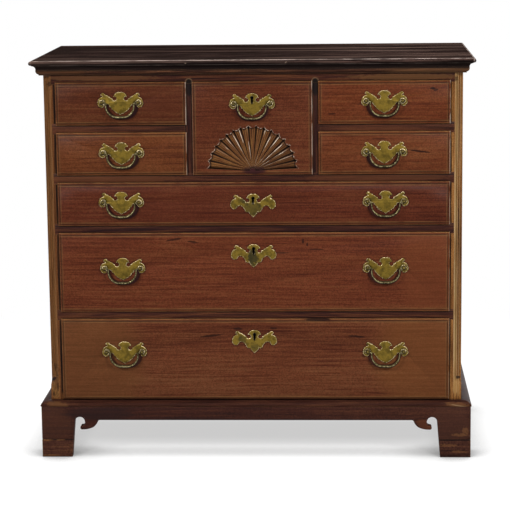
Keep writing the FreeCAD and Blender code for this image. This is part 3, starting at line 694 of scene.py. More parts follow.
def flankHighlight(tree, at, lit):
    # a painted highlight on the flank of each ray that looks up to the fan's top
    leftHalf = fade(tree, at["angle"], *fanFades["leftHalf"])
    halves = (leftHalf, maths(tree, "SUBTRACT", 1.0, leftHalf))
    flank = maths(tree, "ADD", *(
        product(tree, band(tree, at["part"], middle, fanCarving["flankReach"]), half)
        for middle, half in zip(fanCarving["flanks"], halves)
    ))
    reach = fanCarving["polishedReach"]
    groups = (band(tree, at["angle"], middle, reach) for middle in fanCarving["polished"])
    facing = product(tree, maths(tree, "ADD", *groups, clamp=True), at["carved"])
    return product(tree, flank, lit, facing, fade(tree, at["radius"], *fanFades["polish"]))


def fanTones(tree, place, base, clouds):
    # rubbed golden rays, painted shade in the valleys and at the rays' ends, and painted highlights on the
    # flanks and the lip
    at = fanPlaces(tree, place)
    carved = at["carved"]
    spokes = addNode(tree, "CombineXYZ")
    feed(tree, spokes.inputs["X"], product(tree, at["radius"], fanCarving["along"]))
    feed(tree, spokes.inputs["Y"], product(tree, at["ray"], fanCarving["across"]))
    grain, fine, lit = (noise(tree, spokes.outputs[0], *figure) for figure in fanFigures.values())
    lit = fade(tree, lit, *fanFades["lit"])

    base = layOver(tree, base, fanColours["petal"], carved, fade(tree, grain, *fanFades["petal"]))
    base = layOver(tree, base, fanColours["gold"], carved, fade(tree, fine, *fanFades["gold"]))
    base = layOver(tree, base, fanColours["shade"], fade(tree, at["angle"], *fanFades["farSide"]), carved)
    gouged = fade(tree, fine, *fanFades["cut"])
    for middle, share in fanCarving["cuts"]:
        cut = band(tree, at["part"], middle, fanCarving["cutReach"])
        base = layOver(tree, base, fanColours["shade"], cut, gouged, carved, share)
    base = layOver(tree, base, fanColours["polish"], flankHighlight(tree, at, lit))

    # painted shade in the valleys, deeper towards the rim, and on the wall at the rays' ends
    valley = fade(tree, at["aside"], *fanFades["valley"])
    depth = fade(tree, at["radius"], *fanFades["valleyDepth"])
    base = layOver(tree, base, fanColours["valley"], valley, carved, depth)
    wall = band(tree, at["beyond"], *fanCarving["wall"])
    base = layOver(tree, base, fanColours["valley"], wall, at["spread"], fanCarving["wallShare"])
    lip = band(tree, at["beyond"], *fanCarving["lip"])
    return layOver(tree, base, fanColours["polish"], lip, at["spread"], lit, fanCarving["lipShare"])


print("materials ready")

cameraView = {
    "place": (0.2248, -5.0, 1.3209),
    "yaw": -2.671,
    "pitch": 10.156,
    "roll": -0.634,
    "imageSize": (510, 532),  # in pixels
    "focalPixels": 2023.0,
    "sensor": 36.0,
    "clip": (0.1, 300.0),
}


def makeCamera():
    bpy.ops.object.camera_add(location=cameraView["place"])
    camera = bpy.context.object
    camera.name = "frontCamera"
    yaw, pitch, roll = (math.radians(cameraView[key]) for key in ("yaw", "pitch", "roll"))
    ahead = Vector((math.sin(yaw) * math.cos(pitch), math.cos(yaw) * math.cos(pitch), -math.sin(pitch)))
    camera.rotation_euler = ahead.to_track_quat("-Z", "Y").to_euler()
    camera.rotation_euler.rotate_axis("Z", roll)
    camera.data.sensor_width = cameraView["sensor"]
    camera.data.lens = cameraView["focalPixels"] / max(cameraView["imageSize"]) * cameraView["sensor"]
    camera.data.clip_start, camera.data.clip_end = cameraView["clip"]
    bpy.context.scene.camera = camera


makeCamera()
print("camera placed")

studio = {
    "floorRadius": 60.0,
    "floorSides": 96,
    "floorColour": (0.62, 0.62, 0.625),
    "floorRoughness": 0.9,
    "seenColour": (0.22, 0.22, 0.22),  # its lit part where it is seen
    "deepGlow": 0.585,       # what it adds to that far under the chest
    "edgeGlow": 0.93,        # under the chest's front and back edges
    "besideGlow": 0.93,      # and beside it
    "deepReach": (0.27, 0.05),  # from the middle, front to back
    "sideReach": (0.49, 0.60),  # and to the sides
    "cornerShade": 0.28,     # what is left of it close to the feet
    "cornerReach": 0.12,
    "cornerSamples": 8,
    "cornerRange": (0.40, 0.99),
    "whiteReach": (0.95, 1.7),  # where it turns plain white
    "worldLevel": 0.34,
}

lamps = {
    "rightLamp": {
        "place": (1.75, -2.7, 1.95), "aim": (0.30, -0.25, 0.5), "spread": 70.0,
        "size": (0.45, 0.45), "power": 9.3, "colour": (1.0, 0.99, 0.97),
    },
    "leftLamp": {
        "place": (-1.75, -2.7, 1.95), "aim": (-0.30, -0.25, 0.5), "spread": 70.0,
        "size": (0.45, 0.45), "power": 8.1, "colour": (1.0, 0.99, 0.97),
    },
    "topLamp": {
        "place": (0.1, -0.5, 3.0), "aim": (0.0, -0.1, 0.5), "spread": 180.0,
        "size": (3.0, 1.6), "power": 44.0, "colour": (1.0, 1.0, 1.0),
    },
}


def seenDirectly(tree):
    # 1 for the rays that show a surface, 0 for those that only light others
    rays = addNode(tree, "LightPath")
    seen = maths(tree, "MAXIMUM", rays.outputs["Is Camera Ray"], rays.outputs["Is Glossy Ray"])
    return maths(tree, "MAXIMUM", seen, rays.outputs["Is Transmission Ray"])


def floorGlow(tree, place):
    # a painted shadow in the floor's glow: less under the chest, and less still close to the feet
    x, y, _ = axesOf(tree, place)
    inward = maths(tree, "ABSOLUTE", y)
    depth = fade(tree, inward, *studio["deepReach"], studio["edgeGlow"], studio["deepGlow"])
    level = fade(tree, maths(tree, "ABSOLUTE", x), *studio["sideReach"], depth, studio["besideGlow"])
    corner = addNode(tree, "AmbientOcclusion", samples=studio["cornerSamples"])
    corner.inputs["Distance"].default_value = studio["cornerReach"]
    shade = fade(tree, corner.outputs["AO"], *studio["cornerRange"], studio["cornerShade"], 1.0)
    glow = addNode(tree, "Emission")
    feed(tree, glow.inputs["Strength"], product(tree, level, shade))
    return glow.outputs[0]


def makeFloor():
    bpy.ops.mesh.primitive_circle_add(
        vertices=studio["floorSides"], radius=studio["floorRadius"], fill_type="NGON",
    )
    floor = bpy.context.object
    floor.name = "studioFloor"
    material, tree, shader = newMaterial("studioFloor")
    shader.inputs["Base Color"].default_value = (*studio["floorColour"], 1.0)
    shader.inputs["Roughness"].default_value = studio["floorRoughness"]
    shader.inputs["Specular IOR Level"].default_value = 0.0
    place = objectPlace(tree)
    seen = addNode(tree, "BsdfDiffuse")
    seen.inputs["Color"].default_value = (*studio["seenColour"], 1.0)
    near = addNode(tree, "AddShader")
    feed(tree, near.inputs[0], seen.outputs[0])
    feed(tree, near.inputs[1], floorGlow(tree, place))
    white = addNode(tree, "Emission")
    away = fade(tree, vectorMaths(tree, "LENGTH", place), *studio["whiteReach"])
    outward = mixShaders(tree, away, near.outputs[0], white.outputs[0])
    surface = mixShaders(tree, seenDirectly(tree), shader.outputs[0], outward)
    feed(tree, tree.nodes["Material Output"].inputs["Surface"], surface)
    floor.data.materials.append(material)


def makeWorld():
    # soft light all round, and plain white where the world itself is seen
    world = bpy.data.worlds.new("studioWorld")
    bpy.context.scene.world = world
    world.use_nodes = True
    tree = world.node_tree
    soft = tree.nodes["Background"]
    white = addNode(tree, "Background")
    for node, strength in ((soft, studio["worldLevel"]), (white, 1.0)):
        node.inputs["Color"].default_value = (1.0, 1.0, 1.0, 1.0)
        node.inputs["Strength"].default_value = strength
    surface = mixShaders(tree, seenDirectly(tree), soft.outputs[0], white.outputs[0])
    feed(tree, tree.nodes["World Output"].inputs["Surface"], surface)


def makeLamps():
    for name, lamp in lamps.items():
        bpy.ops.object.light_add(type="AREA", location=lamp["place"])
        light = bpy.context.object
        light.name = name
        light.data.shape = "RECTANGLE"
        light.data.size, light.data.size_y = lamp["size"]
        light.data.spread = math.radians(lamp["spread"])
        light.data.energy = lamp["power"]
        light.data.color = lamp["colour"]
        facing = Vector(lamp["aim"]) - Vector(lamp["place"])
        light.rotation_euler = facing.to_track_quat("-Z", "Y").to_euler()


makeFloor()
makeWorld()
makeLamps()
bpy.context.scene.view_settings.view_transform = "Standard"
print("studio ready")

# per drawer: the tint, partly the wood's tone and partly painted light, lighter towards the right; the shares
# of a thin pale painted highlight on each side of the lip; broad lighter and darker patches of painted light
# and shade, each a mark and its colour; and marks, as in patches
drawerLooks = {
    "upper_left_drawer": {
        "stains": [((-0.19, 0.86, 0.09, 0.07, 0.0, 0.3), (0.050, 0.012, 0.006))],
        "board": (0.3, 0.11, 0.07), "tint": (0.74, 0.83, 0.92), "pale": {"right": 0.7},
    },
    "lower_left_drawer": {
        "board": (1.9, 0.14, 0.31), "middle": (0.110, 0.030, 0.0105), "tint": (0.89, 0.96, 0.96),
        "pale": {"right": 0.35},
    },
    "fan_drawer": {
        "board": (3.2, 0.08, 0.52), "tint": (0.83, 0.90, 1.03), "pale": {"right": 0.65, "left": 0.1},
    },
    "upper_right_drawer": {
        "board": (4.6, 0.12, 0.74), "middle": (0.110, 0.026, 0.0100), "tint": (0.96, 1.02, 1.0),
        "pale": {"right": 0.75},
        "marks": [
            (0.425, 0.890, 0.007, 0.0030, -0.1, 0.9), (0.188, 0.832, 0.009, 0.0020, 0.0, 0.7),
            (0.432, 0.886, 0.006, 0.0022, 0.3, 0.8),
        ],
    },
    "lower_right_drawer": {
        "board": (6.1, 0.09, 0.93), "middle": (0.112, 0.029, 0.0102), "tint": (0.90, 0.94, 1.0),
        "pale": {"right": 0.45},
        "marks": [(0.394, 0.742, 0.026, 0.0022, -0.13, 0.9), (0.300, 0.772, 0.018, 0.0016, 0.0, 0.5)],
    },
    "top_long_drawer": {
        "board": (7.7, 0.13, 1.12), "tint": (0.75, 0.74, 0.89), "pale": {"right": 0.35},
        "stains": [((-0.12, 0.618, 0.24, 0.07, 0.0, 0.22), (0.045, 0.010, 0.005))],
    },
    "middle_long_drawer": {
        "board": (9.4, 0.10, 1.41), "tint": (0.92, 0.95, 1.06), "pale": {"right": 0.2},
        "stains": [((0.46, 0.46, 0.12, 0.16, 0.0, 0.40), (0.125, 0.036, 0.013))],
        "marks": [
            (-0.190, 0.533, 0.020, 0.0026, 0.15, 0.8), (-0.145, 0.527, 0.014, 0.0024, -0.1, 0.8),
            (0.118, 0.528, 0.0028, 0.007, 0.0, 0.8), (0.128, 0.520, 0.0026, 0.004, 0.0, 0.8),
            (0.150, 0.508, 0.018, 0.0020, 0.0, 0.7), (0.066, 0.500, 0.022, 0.0018, 0.0, 0.7),
        ],
    },
    "bottom_long_drawer": {
        "board": (11.2, 0.12, 1.66), "middle": (0.100, 0.029, 0.0112), "light": (0.14, 0.055, 0.0205),
        "tint": (0.92, 0.93, 1.02), "pale": {"right": 0.2},
        "stains": [
            ((-0.42, 0.23, 0.16, 0.16, 0.0, 0.40), (0.115, 0.048, 0.015)),
            ((0.45, 0.24, 0.17, 0.16, 0.0, 0.45), (0.140, 0.052, 0.015)),
        ],
        "marks": [
            (-0.105, 0.298, 0.028, 0.0026, 0.12, 0.85), (-0.040, 0.315, 0.012, 0.0036, 0.0, 0.8),
            (0.045, 0.316, 0.010, 0.0028, 0.0, 0.7), (0.245, 0.296, 0.022, 0.0026, -0.1, 0.8),
            (0.152, 0.337, 0.030, 0.0035, 0.0, 0.9),
        ],
    },
}
lipLooks = {
    "softness": 0.0006,
    "rubbed": {"left": 0.30, "right": 0.30, "bottom": 0.45, "top": 0.42},
    "arris": 0.0008,         # the middle of the line of wear and painted highlight, from the lip's edge
    "field": 0.0078,         # and the raised field's own edge, with wear and painted highlight
    "reach": 0.0019,
    "ochre": (0.26, 0.135, 0.045),
    "fieldOchre": (0.19, 0.095, 0.034),
    "pale": (0.50, 0.42, 0.35),
    "paleReach": 0.0014,
    "step": {"middle": 0.0056, "reach": 0.0016, "share": 0.55, "colour": (0.010, 0.005, 0.004)},
    "stainRaggedness": 0.6,
    # darker close round the lips and the plates: dirt and painted shade
    "dirt": {"grime": 0.85, "grimeReach": 0.006, "grimeRange": (0.94, 0.60)},
}
pullPlaces = {
    "pinDrop": 0.0022,       # from the top of a bail to the middle of its pins
    "dirtShift": 0.0028,     # the painted shadow lies this far towards the chest's middle
    "middleReach": 0.05,     # but not under a pull in the middle of a drawer
}


def pullsOf(drawer):
    # where the drawer's bails hang from, and how far their painted shadow lies to one side of them
    pulls = []
    for node in sorted(nodes):
        if node.startswith(drawer + "_") and node.endswith("_bail"):
            low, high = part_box(node)
            middle = (low.x + high.x) / 2
            shift = -math.copysign(pullPlaces["dirtShift"], middle)
            if abs(middle) < pullPlaces["middleReach"]:
                shift = 0.0
            pulls.append((middle, high.z - pullPlaces["pinDrop"], shift))
    return pulls


def frontExtras(drawer, changes):
    node = drawer + "_front"
    rubbed, arris, reach = lipLooks["rubbed"], lipLooks["arris"], lipLooks["reach"]
    # broad lighter and darker patches: painted light and shade across the front
    extras = [
        patches([mark], colour, lipLooks["stainRaggedness"]) for mark, colour in changes.get("stains", ())
    ]
    extras += [
        stepDirtAndShade(node, **lipLooks["step"]),
        # lines along the lip's edge and the field's edge: wear and painted highlight
        wornAndLitLine(node, rubbed, lipLooks["field"], reach, lipLooks["fieldOchre"]),
        wornAndLitLine(node, rubbed, arris, reach, lipLooks["ochre"]),
        # a thin pale painted highlight on the sides each drawer gives
        wornAndLitLine(node, changes["pale"], arris, lipLooks["paleReach"], lipLooks["pale"], 0.0),
        bailShadow(pullsOf(drawer)),
    ]
    if "marks" in changes:
        extras.append(patches(changes["marks"]))
    if drawer == "fan_drawer":
        extras.append(fanTones)
        extras.append(patches(fanCarving["hub"], fanColours["hub"], fanCarving["hubRaggedness"]))
    return extras


def makeDrawerFronts():
    for drawer, changes in drawerLooks.items():
        look = {key: value for key, value in changes.items() if key not in ("marks", "pale", "stains")}
        look.update(lipLooks["dirt"], extras=frontExtras(drawer, changes))
        wood = makeWood(camelName(drawer) + "Wood", **look)
        dress(drawer + "_front", wood, lipLooks["softness"])
        print("drawer front:", drawer)


makeDrawerFronts()

upright = (260.0, 60.0, 80.0)     # tears that follow a post's grain
lineDirtAndShade = (0.014, 0.006, 0.004)
gapDirtAndShade = (0.007, 0.004, 0.004)
# on the left post: pale lines of wear and painted highlight along the ridges, and dark lines of dirt and
# painted shade in the flutes and beside the drawers' lips
leftPostMarks = [
    uprightLines([(-0.4880, 0.0115, 0.60)], (0.215, 0.088, 0.026)),
    uprightLines(
        [(-0.4785, 0.0016, 0.35), (-0.4826, 0.0016, 0.40), (-0.4925, 0.0016, 0.45)], (0.24, 0.125, 0.048),
    ),
    uprightLines([(-0.4850, 0.0015, 0.55), (-0.4902, 0.0015, 0.60)], lineDirtAndShade),
    uprightLines([(-0.4692, 0.0044, 0.96)], gapDirtAndShade, 0.80),
    patches([(-0.486, 0.160, 0.009, 0.020, 0.0, 0.6)], (0.24, 0.115, 0.036), 5.0, upright),
    patches([(-0.486, 0.185, 0.010, 0.045, 0.0, 0.45)], (0.010, 0.006, 0.004), 6.0, (420.0, 60.0, 130.0)),
    patches([(-0.489, 0.205, 0.005, 0.014, 0.0, 0.50)], (0.22, 0.095, 0.032), 5.0, upright),
    patches(
        [
            (-0.478, 0.907, 0.010, 0.006, 0.3, 0.70), (-0.491, 0.187, 0.007, 0.0040, 0.5, 0.95),
            (-0.487, 0.214, 0.0022, 0.010, 0.0, 0.6), (-0.480, 0.170, 0.0022, 0.010, 0.0, 0.6),
            (-0.490, 0.152, 0.0026, 0.006, 0.0, 0.6),
        ],
        raggedness=4.0,
    ),
]
# on the right post: a painted highlight down the arris and pale lines along the ridges, and dark lines of
# dirt and painted shade beside the drawers' lips and in a flute
rightPostMarks = [
    uprightLines([(0.4812, 0.0042, 0.65)], (0.430, 0.285, 0.110)),
    uprightLines(
        [(0.4785, 0.0017, 0.85), (0.4852, 0.0016, 0.70), (0.4903, 0.0015, 0.45)], (0.42, 0.285, 0.150),
    ),
    uprightLines([(0.4684, 0.0030, 0.95), (0.4824, 0.0014, 0.35)], lineDirtAndShade),
    patches([(0.486, 0.168, 0.009, 0.022, 0.0, 0.55)], (0.30, 0.165, 0.055), 5.0, upright),
    patches(
        [(0.475, 0.912, 0.009, 0.007, 0.0, 0.65), (0.489, 0.191, 0.006, 0.004, -0.3, 0.85)], raggedness=4.0,
    ),
]
caseLooks = {
    "top_board": {
        "slot": "top_wood", "width": 0.0009, "board": (0.9, 0.3, 2.1), "dark": (0.004, 0.003, 0.003),
        "middle": (0.0165, 0.0092, 0.0082), "light": (0.082, 0.048, 0.039), "roughness": 0.75, "gloss": 0.0,
        "worn": (0.14, 0.10, 0.075), "wear": 0.25, "streakShare": 1.6, "cloudShare": 0.5,
        "extras": [
            shadedSide("top_board", "back", 0.30, 0.55, (0.011, 0.0075, 0.007)),
            shadedSide("top_board", "back", 0.060, 0.55, (0.095, 0.052, 0.038)),
            # painted sheen in pale streaks, stronger to the right, and painted shade in black streaks,
            # stronger to the left
            broadGrain((1.6, 34.0, 34.0), (0.130, 0.083, 0.067), (0.32, 1.0), -0.05, 0.36),
            broadGrain((2.0, 45.0, 45.0), black, (0.85, 0.45), -0.10, 0.30),
            # a painted highlight along the top's front arris and its ends
            wornAndLitLine(
                "top_board", {"front": 0.9, "left": 0.3, "right": 0.5}, 0.0046, 0.0024, (0.50, 0.40, 0.35),
            ),
            shadedSide("top_board", "bottom", 0.0175, 0.80, (0.010, 0.0065, 0.006)),
            patches(
                [(-0.154, 0.9545, 0.0022, 0.0014, 0.0, 0.55), (0.081, 0.9550, 0.0026, 0.0018, 0.6, 0.5)],
                (0.26, 0.19, 0.14), 1.0,
            ),
        ],
    },
    "bed_moulding": {
        "slot": "moulding_wood", "width": 0.0006, "board": (2.9, 0.2, 2.6), "dark": (0.02, 0.009, 0.006),
        "middle": (0.034, 0.0130, 0.0088), "light": (0.12, 0.052, 0.026), "streakShare": 1.6,
        "extras": [
            patches([(-0.46, 0.933, 0.07, 0.03, 0.0, 0.5)], (0.100, 0.042, 0.017), 1.2),
            patches([(0.46, 0.933, 0.15, 0.03, 0.0, 0.42)], (0.150, 0.072, 0.031), 1.2),
            shadedSide("bed_moulding", "top", 0.0060, 0.9), shadedSide("bed_moulding", "bottom", 0.0030, 0.7),
        ],
    },
    "left_side": {
        "slot": "case_wood", "width": 0.0006, "grain": "Z", "board": (3.3, 0.6, 0.4),
        "middle": (0.095, 0.027, 0.009),
    },
    "right_side": {
        "slot": "case_wood", "width": 0.0006, "grain": "Z", "board": (5.3, 0.9, 1.4),
        "middle": (0.095, 0.027, 0.009),
    },
    "left_corner_post": {
        "slot": "post_wood", "width": 0.0005, "grain": "Z", "board": (7.1, 0.4, 0.2),
        "dark": (0.035, 0.012, 0.005), "middle": (0.112, 0.041, 0.0135), "light": (0.20, 0.085, 0.029),
        "worn": (0.24, 0.13, 0.05), "grimeReach": 0.004, "streakShare": 0.95, "extras": leftPostMarks,
    },
    # the same wood as the left post in lighter tones: painted light from the right
    "right_corner_post": {
        "slot": "post_wood", "width": 0.0005, "grain": "Z", "board": (8.8, 0.2, 0.9),
        "dark": (0.050, 0.018, 0.007), "middle": (0.200, 0.083, 0.0235), "light": (0.36, 0.175, 0.055),
        "worn": (0.30, 0.18, 0.08), "grimeReach": 0.004, "streakShare": 0.95, "extras": rightPostMarks,
    },
    "top_rail": {
        "slot": "rail_wood", "width": 0.0004, "board": (1.2, 0.5, 0.3),
        "extras": [
            patches(
                [(-0.36, 0.919, 0.14, 0.007, 0.0, 0.35), (0.36, 0.917, 0.14, 0.008, 0.0, 0.5)],
                (0.145, 0.066, 0.024),
            ),
            # painted shade: the dark spot above each divider, between the lips, with a lighter rim
            patches(bothSides(0.149, 0.909, 0.0092, 0.0088, 0.0, 0.7), (0.17, 0.10, 0.055), 0.5),
            patches(bothSides(0.149, 0.909, 0.0070, 0.0066, 0.0, 0.97), black, 0.3),
        ],
    },
    "drawer_rails": {
        "slot": "rail_wood", "width": 0.0004, "board": (2.4, 0.7, 0.5),
        "extras": [
            patches(
                [(-0.36, 0.679, 0.20, 0.012, 0.0, 0.7), (0.30, 0.679, 0.18, 0.010, 0.0, 0.5)],
                (0.090, 0.031, 0.013), 1.6,
            ),
            patches(
                [(0.0, 0.557, 0.55, 0.02, 0.0, 0.35), (0.0, 0.344, 0.55, 0.02, 0.0, 0.1)],
                (0.012, 0.004, 0.006), 0.8,
            ),
            shadowUnderLips("fan_drawer", "top_long_drawer", "middle_long_drawer"),
        ],
    },
    "short_rails": {
        "slot": "rail_wood", "width": 0.0004, "board": (3.9, 0.8, 0.8), "middle": (0.066, 0.021, 0.011),
        "streakShare": 0.9, "extras": [shadowUnderLips("upper_left_drawer")],
    },
    "drawer_dividers": {
        "slot": "rail_wood", "width": 0.0004, "grain": "Z", "board": (5.6, 0.6, 1.1),
        "tint": (0.62, 0.62, 0.75),
        # painted shade on the dark upper ends, deep between the lips
        "extras": [patches(bothSides(0.149, 0.895, 0.008, 0.022, 0.0, 0.9), (0.005, 0.003, 0.003), 0.8)],
    },
    "base_front": {
        "slot": "base_wood", "width": 0.0012, "board": (6.6, 0.1, 1.3),
        "extras": [
            patches(
                [(0.506, 0.066, 0.0070, 0.009, 0.0, 0.6), (0.492, 0.056, 0.018, 0.0040, 0.0, 0.6)],
                (0.150, 0.064, 0.023), 5.0, (190.0, 60.0, 260.0),
            ),
            patches([(0.47, 0.080, 0.05, 0.06, 0.0, 0.30)], (0.070, 0.028, 0.016), 1.5),
            patches([(-0.49, 0.080, 0.05, 0.05, 0.0, 0.30)], (0.066, 0.026, 0.013), 1.5),
            patches([(0.412, 0.080, 0.024, 0.013, -0.3, 0.4)], (0.11, 0.035, 0.012), 1.5),
            patches([(-0.38, 0.108, 0.09, 0.016, 0.0, 0.55)], (0.014, 0.006, 0.006), 1.5),
        ],
    },
    "base_left": {"slot": "base_wood", "width": 0.0012, "grain": "Y", "board": (7.9, 0.2, 1.5)},
    "base_right": {"slot": "base_wood", "width": 0.0012, "grain": "Y", "board": (9.1, 0.3, 1.7)},
    "foot_tips": {
        "slot": "foot_wood", "width": 0.0012, "board": (10.3, 0.4, 1.9), "dark": (0.014, 0.006, 0.005),
        "middle": (0.050, 0.0180, 0.0112), "light": (0.12, 0.05, 0.022), "speckle": 0.5, "streakShare": 0.45,
        "extras": [
            shadedSide("foot_tips", "top", 0.0034, 0.9),
            patches(
                [
                    (-0.506, 0.0425, 0.011, 0.0026, 0.0, 0.7), (-0.476, 0.0430, 0.010, 0.0022, 0.0, 0.5),
                    (-0.500, 0.004, 0.022, 0.0030, 0.0, 0.5),
                    (0.466, 0.030, 0.022, 0.0035, 0.0, 0.35), (0.492, 0.014, 0.018, 0.0030, 0.0, 0.35),
                ],
                (0.17, 0.074, 0.027), 5.5, (190.0, 60.0, 300.0),
            ),
        ],
    },
    "base_moulding": {
        "slot": "moulding_wood", "width": 0.0006, "board": (11.7, 0.5, 2.0), "dark": (0.012, 0.005, 0.004),
        "middle": (0.032, 0.0100, 0.0065), "light": (0.075, 0.028, 0.014), "gloss": 0.03, "speckle": 0.25,
        "extras": [
            patches(
                [(-0.480, 0.131, 0.030, 0.006, -0.08, 0.60), (0.488, 0.130, 0.030, 0.006, -0.1, 0.60)],
                (0.115, 0.050, 0.019), 3.0,
            ),
            patches([(0.493, 0.128, 0.022, 0.0016, -0.15, 0.6)], (0.24, 0.15, 0.08), 2.0),
        ],
    },
}
railTones = {
    "dark": (0.009, 0.004, 0.004), "middle": (0.042, 0.0125, 0.0078), "light": (0.105, 0.036, 0.015),
    "streakShare": 1.15, "grime": 0.85, "speckle": 0.25, "gloss": 0.06,
}
baseTones = {
    "dark": (0.010, 0.004, 0.004), "middle": (0.0315, 0.0088, 0.0055), "light": (0.066, 0.022, 0.011),
    "speckle": 0.42, "streakShare": 0.48, "gloss": 0.07,
}
sharedTones = {"rail_wood": railTones, "base_wood": baseTones}

plainLooks = {
    "back_boards": {"board": (0.2, 0.4, 3.1)},
    "bottom_board": {"board": (1.5, 0.6, 3.3)},
    "partitions": {"grain": "Y", "board": (2.8, 0.3, 3.5)},
    "drawer_runners": {"grain": "Y", "board": (4.1, 0.5, 3.7)},
    "rear_foot_braces": {"board": (5.2, 0.2, 3.9)},
    "glue_blocks": {"grain": "Z", "board": (6.5, 0.1, 4.1)},
}
liningTones = {
    "dark": (0.16, 0.085, 0.035), "middle": (0.32, 0.19, 0.085), "light": (0.46, 0.30, 0.15),
    "roughness": 0.7, "gloss": 0.15, "wear": 0.0, "grime": 0.55, "ringShare": 0.12, "ringScale": 9.0,
}
boxBoards = {"apart": 1.3, "across": 0.35, "up": 4.5}     # each drawer's box from further along the log


def makeCase():
    for node, changes in caseLooks.items():
        look = dict(sharedTones.get(changes["slot"], {}))
        look.update({key: value for key, value in changes.items() if key not in ("slot", "width")})
        dress(node, makeWood(camelName(node) + "Wood", **look), changes["width"])
    for node, changes in plainLooks.items():
        finishNode(node, makeWood(camelName(node) + "Wood", **dict(liningTones, **changes)))
    for index, drawer in enumerate(drawerLooks):
        board = (index * boxBoards["apart"], boxBoards["across"], boxBoards["up"])
        look = dict(liningTones, grain="Y", board=board)
        finishNode(drawer + "_box", makeWood(camelName(drawer) + "Lining", **look))


makeCase()
print("case dressed")

plateLook = {
    "softness": 0.00025,
    "tarnish": (0.080, 0.055, 0.011),
    "skin": (0.176, 0.117, 0.0195),
    "bright": (0.98, 0.80, 0.48),
    "underside": 0.30,       # painted shade: what is left of the colour on faces that look down
    "edgeReach": 0.0020,
    "edgeShare": 0.95,
    "rubbed": 0.0,
}
bailLook = dict(
    plateLook, softness=0.0002, tarnish=(0.020, 0.016, 0.007), skin=(0.056, 0.045, 0.017),
    bright=(0.27, 0.230, 0.125), underside=0.10, edgeReach=0.0010, edgeShare=0.2, rubbed=0.8,
)
brassShared = {
    "stain": (0.022, 0.022, 0.013),
    "hollow": (0.003, 0.003, 0.003),
    "clouds": ((90.0, 90.0, 90.0), 5.0, 0.65),
    "patchy": ((230.0, 230.0, 230.0), 2.0),
    "tones": (0.36, 0.56),   # where in the clouds tarnish and skin lie
    "speckFade": (0.50, 0.68, 0.0, 0.55),
    "tears": (150.0, 60.0, 150.0),
    "raggedness": 3.5,
    "creviceReach": 0.009,
    "creviceRange": (0.88, 0.42),
    "creviceShare": 0.85,
    "undersideRange": (-0.75, -0.05),
    "patchyFade": (0.44, 0.56, 0.08, 1.0),
    "edgeRange": (0.004, 0.06),
    "frontRange": (-0.82, -0.99),
    "roughness": (0.25, 0.26),  # how much the specks add, and to what
    "relief": (0.0003, 0.6),
}
# each keyhole is painted dark, as the shade inside it: a round mark over a slot, how far off its middle, half
# width and half height
keyholeMarks = ((0.004, 0.0046, 0.0046), (-0.002, 0.0034, 0.0105))
postTarnishAndShadeLook = {"aside": 0.0430, "below": 0.001, "half": (0.0088, 0.0080), "strength": 0.62}
# stains on the plates of each drawer, and the middles of its keyholes
brassMarks = {
    "lower_left_drawer": {"stains": [(-0.312, 0.757, 0.012, 0.014, 0.0, 0.35)]},
    "fan_drawer": {"keyhole": 0.867},
    "top_long_drawer": {
        "keyhole": 0.628,
        "stains": [(-0.001, 0.606, 0.024, 0.015, 0.0, 0.52), (-0.022, 0.624, 0.012, 0.006, -0.6, 0.55)],
    },
    "middle_long_drawer": {"keyhole": 0.5065, "stains": [(-0.002, 0.488, 0.014, 0.020, -0.5, 0.80)]},
    "bottom_long_drawer": {
        "keyhole": 0.297,
        "stains": [(-0.029, 0.289, 0.010, 0.009, 0.0, 0.55), (0.0, 0.270, 0.010, 0.011, 0.0, 0.45)],
    },
}


def postTarnishAndShade(drawer):
    # tarnish and painted shade round the two posts of each pull
    marks = []
    for x, z, _ in pullsOf(drawer):
        for aside in (-postTarnishAndShadeLook["aside"], postTarnishAndShadeLook["aside"]):
            marks.append((x + aside, z - postTarnishAndShadeLook["below"], *postTarnishAndShadeLook["half"], 0.0, postTarnishAndShadeLook["strength"]))
    return marks


def brassColour(tree, look, clouds, specks):
    colour = colourRamp(tree, clouds, list(zip(brassShared["tones"], (look["tarnish"], look["skin"]))))
    return layOver(tree, colour, look["tarnish"], fade(tree, specks, *brassShared["speckFade"]))


def brassWear(tree, place, look, colour):
    # painted shade on faces that look down, and bright edges and fronts: polish where hands rub them, and
    # painted highlight
    _, forward, up = axesOf(tree, addNode(tree, "TexCoord").outputs["Normal"])
    lit = fade(tree, up, *brassShared["undersideRange"], look["underside"], 1.0)
    colour = vectorMaths(tree, "MULTIPLY", colour, lit)
    patchy = fade(tree, noise(tree, place, *brassShared["patchy"]), *brassShared["patchyFade"])
    # bright edges: partly polish, partly painted highlight
    edges = edgeMask(tree, look["edgeReach"], *brassShared["edgeRange"])
    colour = layOver(tree, colour, look["bright"], edges, patchy, look["edgeShare"])
    # a painted highlight down the front of each bail
    if look["rubbed"]:
        front = fade(tree, forward, *brassShared["frontRange"])
        colour = layOver(tree, colour, look["bright"], front, patchy, look["rubbed"])
    return colour


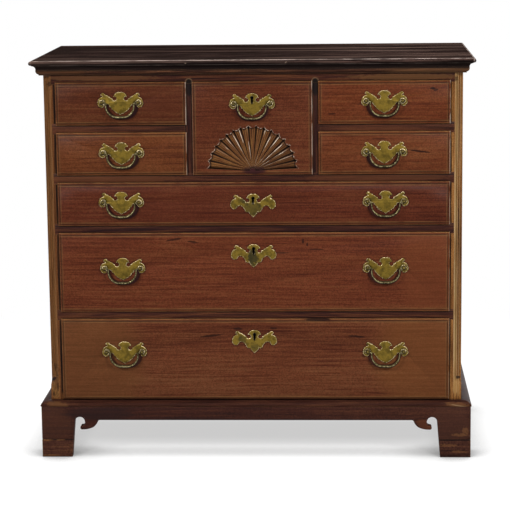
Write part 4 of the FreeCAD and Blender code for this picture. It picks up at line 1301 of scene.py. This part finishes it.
def makeBrass(name, look, keyhole=None, stains=()):
    material, tree, shader = newMaterial(name)
    place = objectPlace(tree)
    clouds = noise(tree, place, *brassShared["clouds"])
    specks = noise(tree, place, *figures["specks"])
    colour = brassColour(tree, look, clouds, specks)
    stained = patches(stains, brassShared["stain"], brassShared["raggedness"], brassShared["tears"])
    colour = stained(tree, place, colour, clouds)
    # darker in the plates' corners: tarnish, and painted shade
    corners = crevice(tree, brassShared["creviceReach"], *brassShared["creviceRange"])
    colour = layOver(tree, colour, brassShared["stain"], corners, brassShared["creviceShare"])
    colour = brassWear(tree, place, look, colour)
    # the keyholes painted dark, as shade
    if keyhole:
        marks = [(0.0, keyhole + off, *half, 0.0, 1.0) for off, *half in keyholeMarks]
        colour = patches(marks, brassShared["hollow"], 0.0)(tree, place, colour, clouds)
    feed(tree, shader.inputs["Base Color"], colour)
    shader.inputs["Metallic"].default_value = 1.0
    feed(tree, shader.inputs["Roughness"], maths(tree, "MULTIPLY_ADD", specks, *brassShared["roughness"]))
    feed(tree, shader.inputs["Normal"], bumped(tree, clouds, *brassShared["relief"]))
    return material


ironLook = {
    "filing": ((900.0, 60.0, 60.0), 3.0),
    "rust": ((45.0, 45.0, 45.0), 4.0),
    "rustRange": (0.5, 0.68),
    "bare": (0.12, 0.11, 0.10),
    "rusty": (0.09, 0.035, 0.018),
    "metallic": 0.8,
    "roughness": (0.3, 0.7, 0.4, 0.65),
}


def makeIron():
    material, tree, shader = newMaterial("filedIron")
    place = objectPlace(tree)
    rust = fade(tree, noise(tree, place, *ironLook["rust"]), *ironLook["rustRange"])
    feed(tree, shader.inputs["Base Color"], blend(tree, rust, ironLook["bare"], ironLook["rusty"]))
    shader.inputs["Metallic"].default_value = ironLook["metallic"]
    filing = noise(tree, place, *ironLook["filing"])
    feed(tree, shader.inputs["Roughness"], fade(tree, filing, *ironLook["roughness"]))
    return material


def makeMetal():
    bailBrass = makeBrass("bailBrass", bailLook)
    iron = makeIron()
    for nodeName in sorted(nodes):
        if nodeName.endswith("_fittings"):
            drawer = nodeName.removesuffix("_fittings")
            marks = dict(brassMarks.get(drawer, {}))
            marks["stains"] = [*marks.get("stains", ()), *postTarnishAndShade(drawer)]
            plateBrass = makeBrass(camelName(drawer) + "Brass", plateLook, **marks)
            dress(nodeName, plateBrass, plateLook["softness"])
        elif nodeName.endswith("_bail"):
            dress(nodeName, bailBrass, bailLook["softness"])
        elif nodeName.endswith("_lock_bolt"):
            finishNode(nodeName, iron)


makeMetal()
print("brasses dressed")
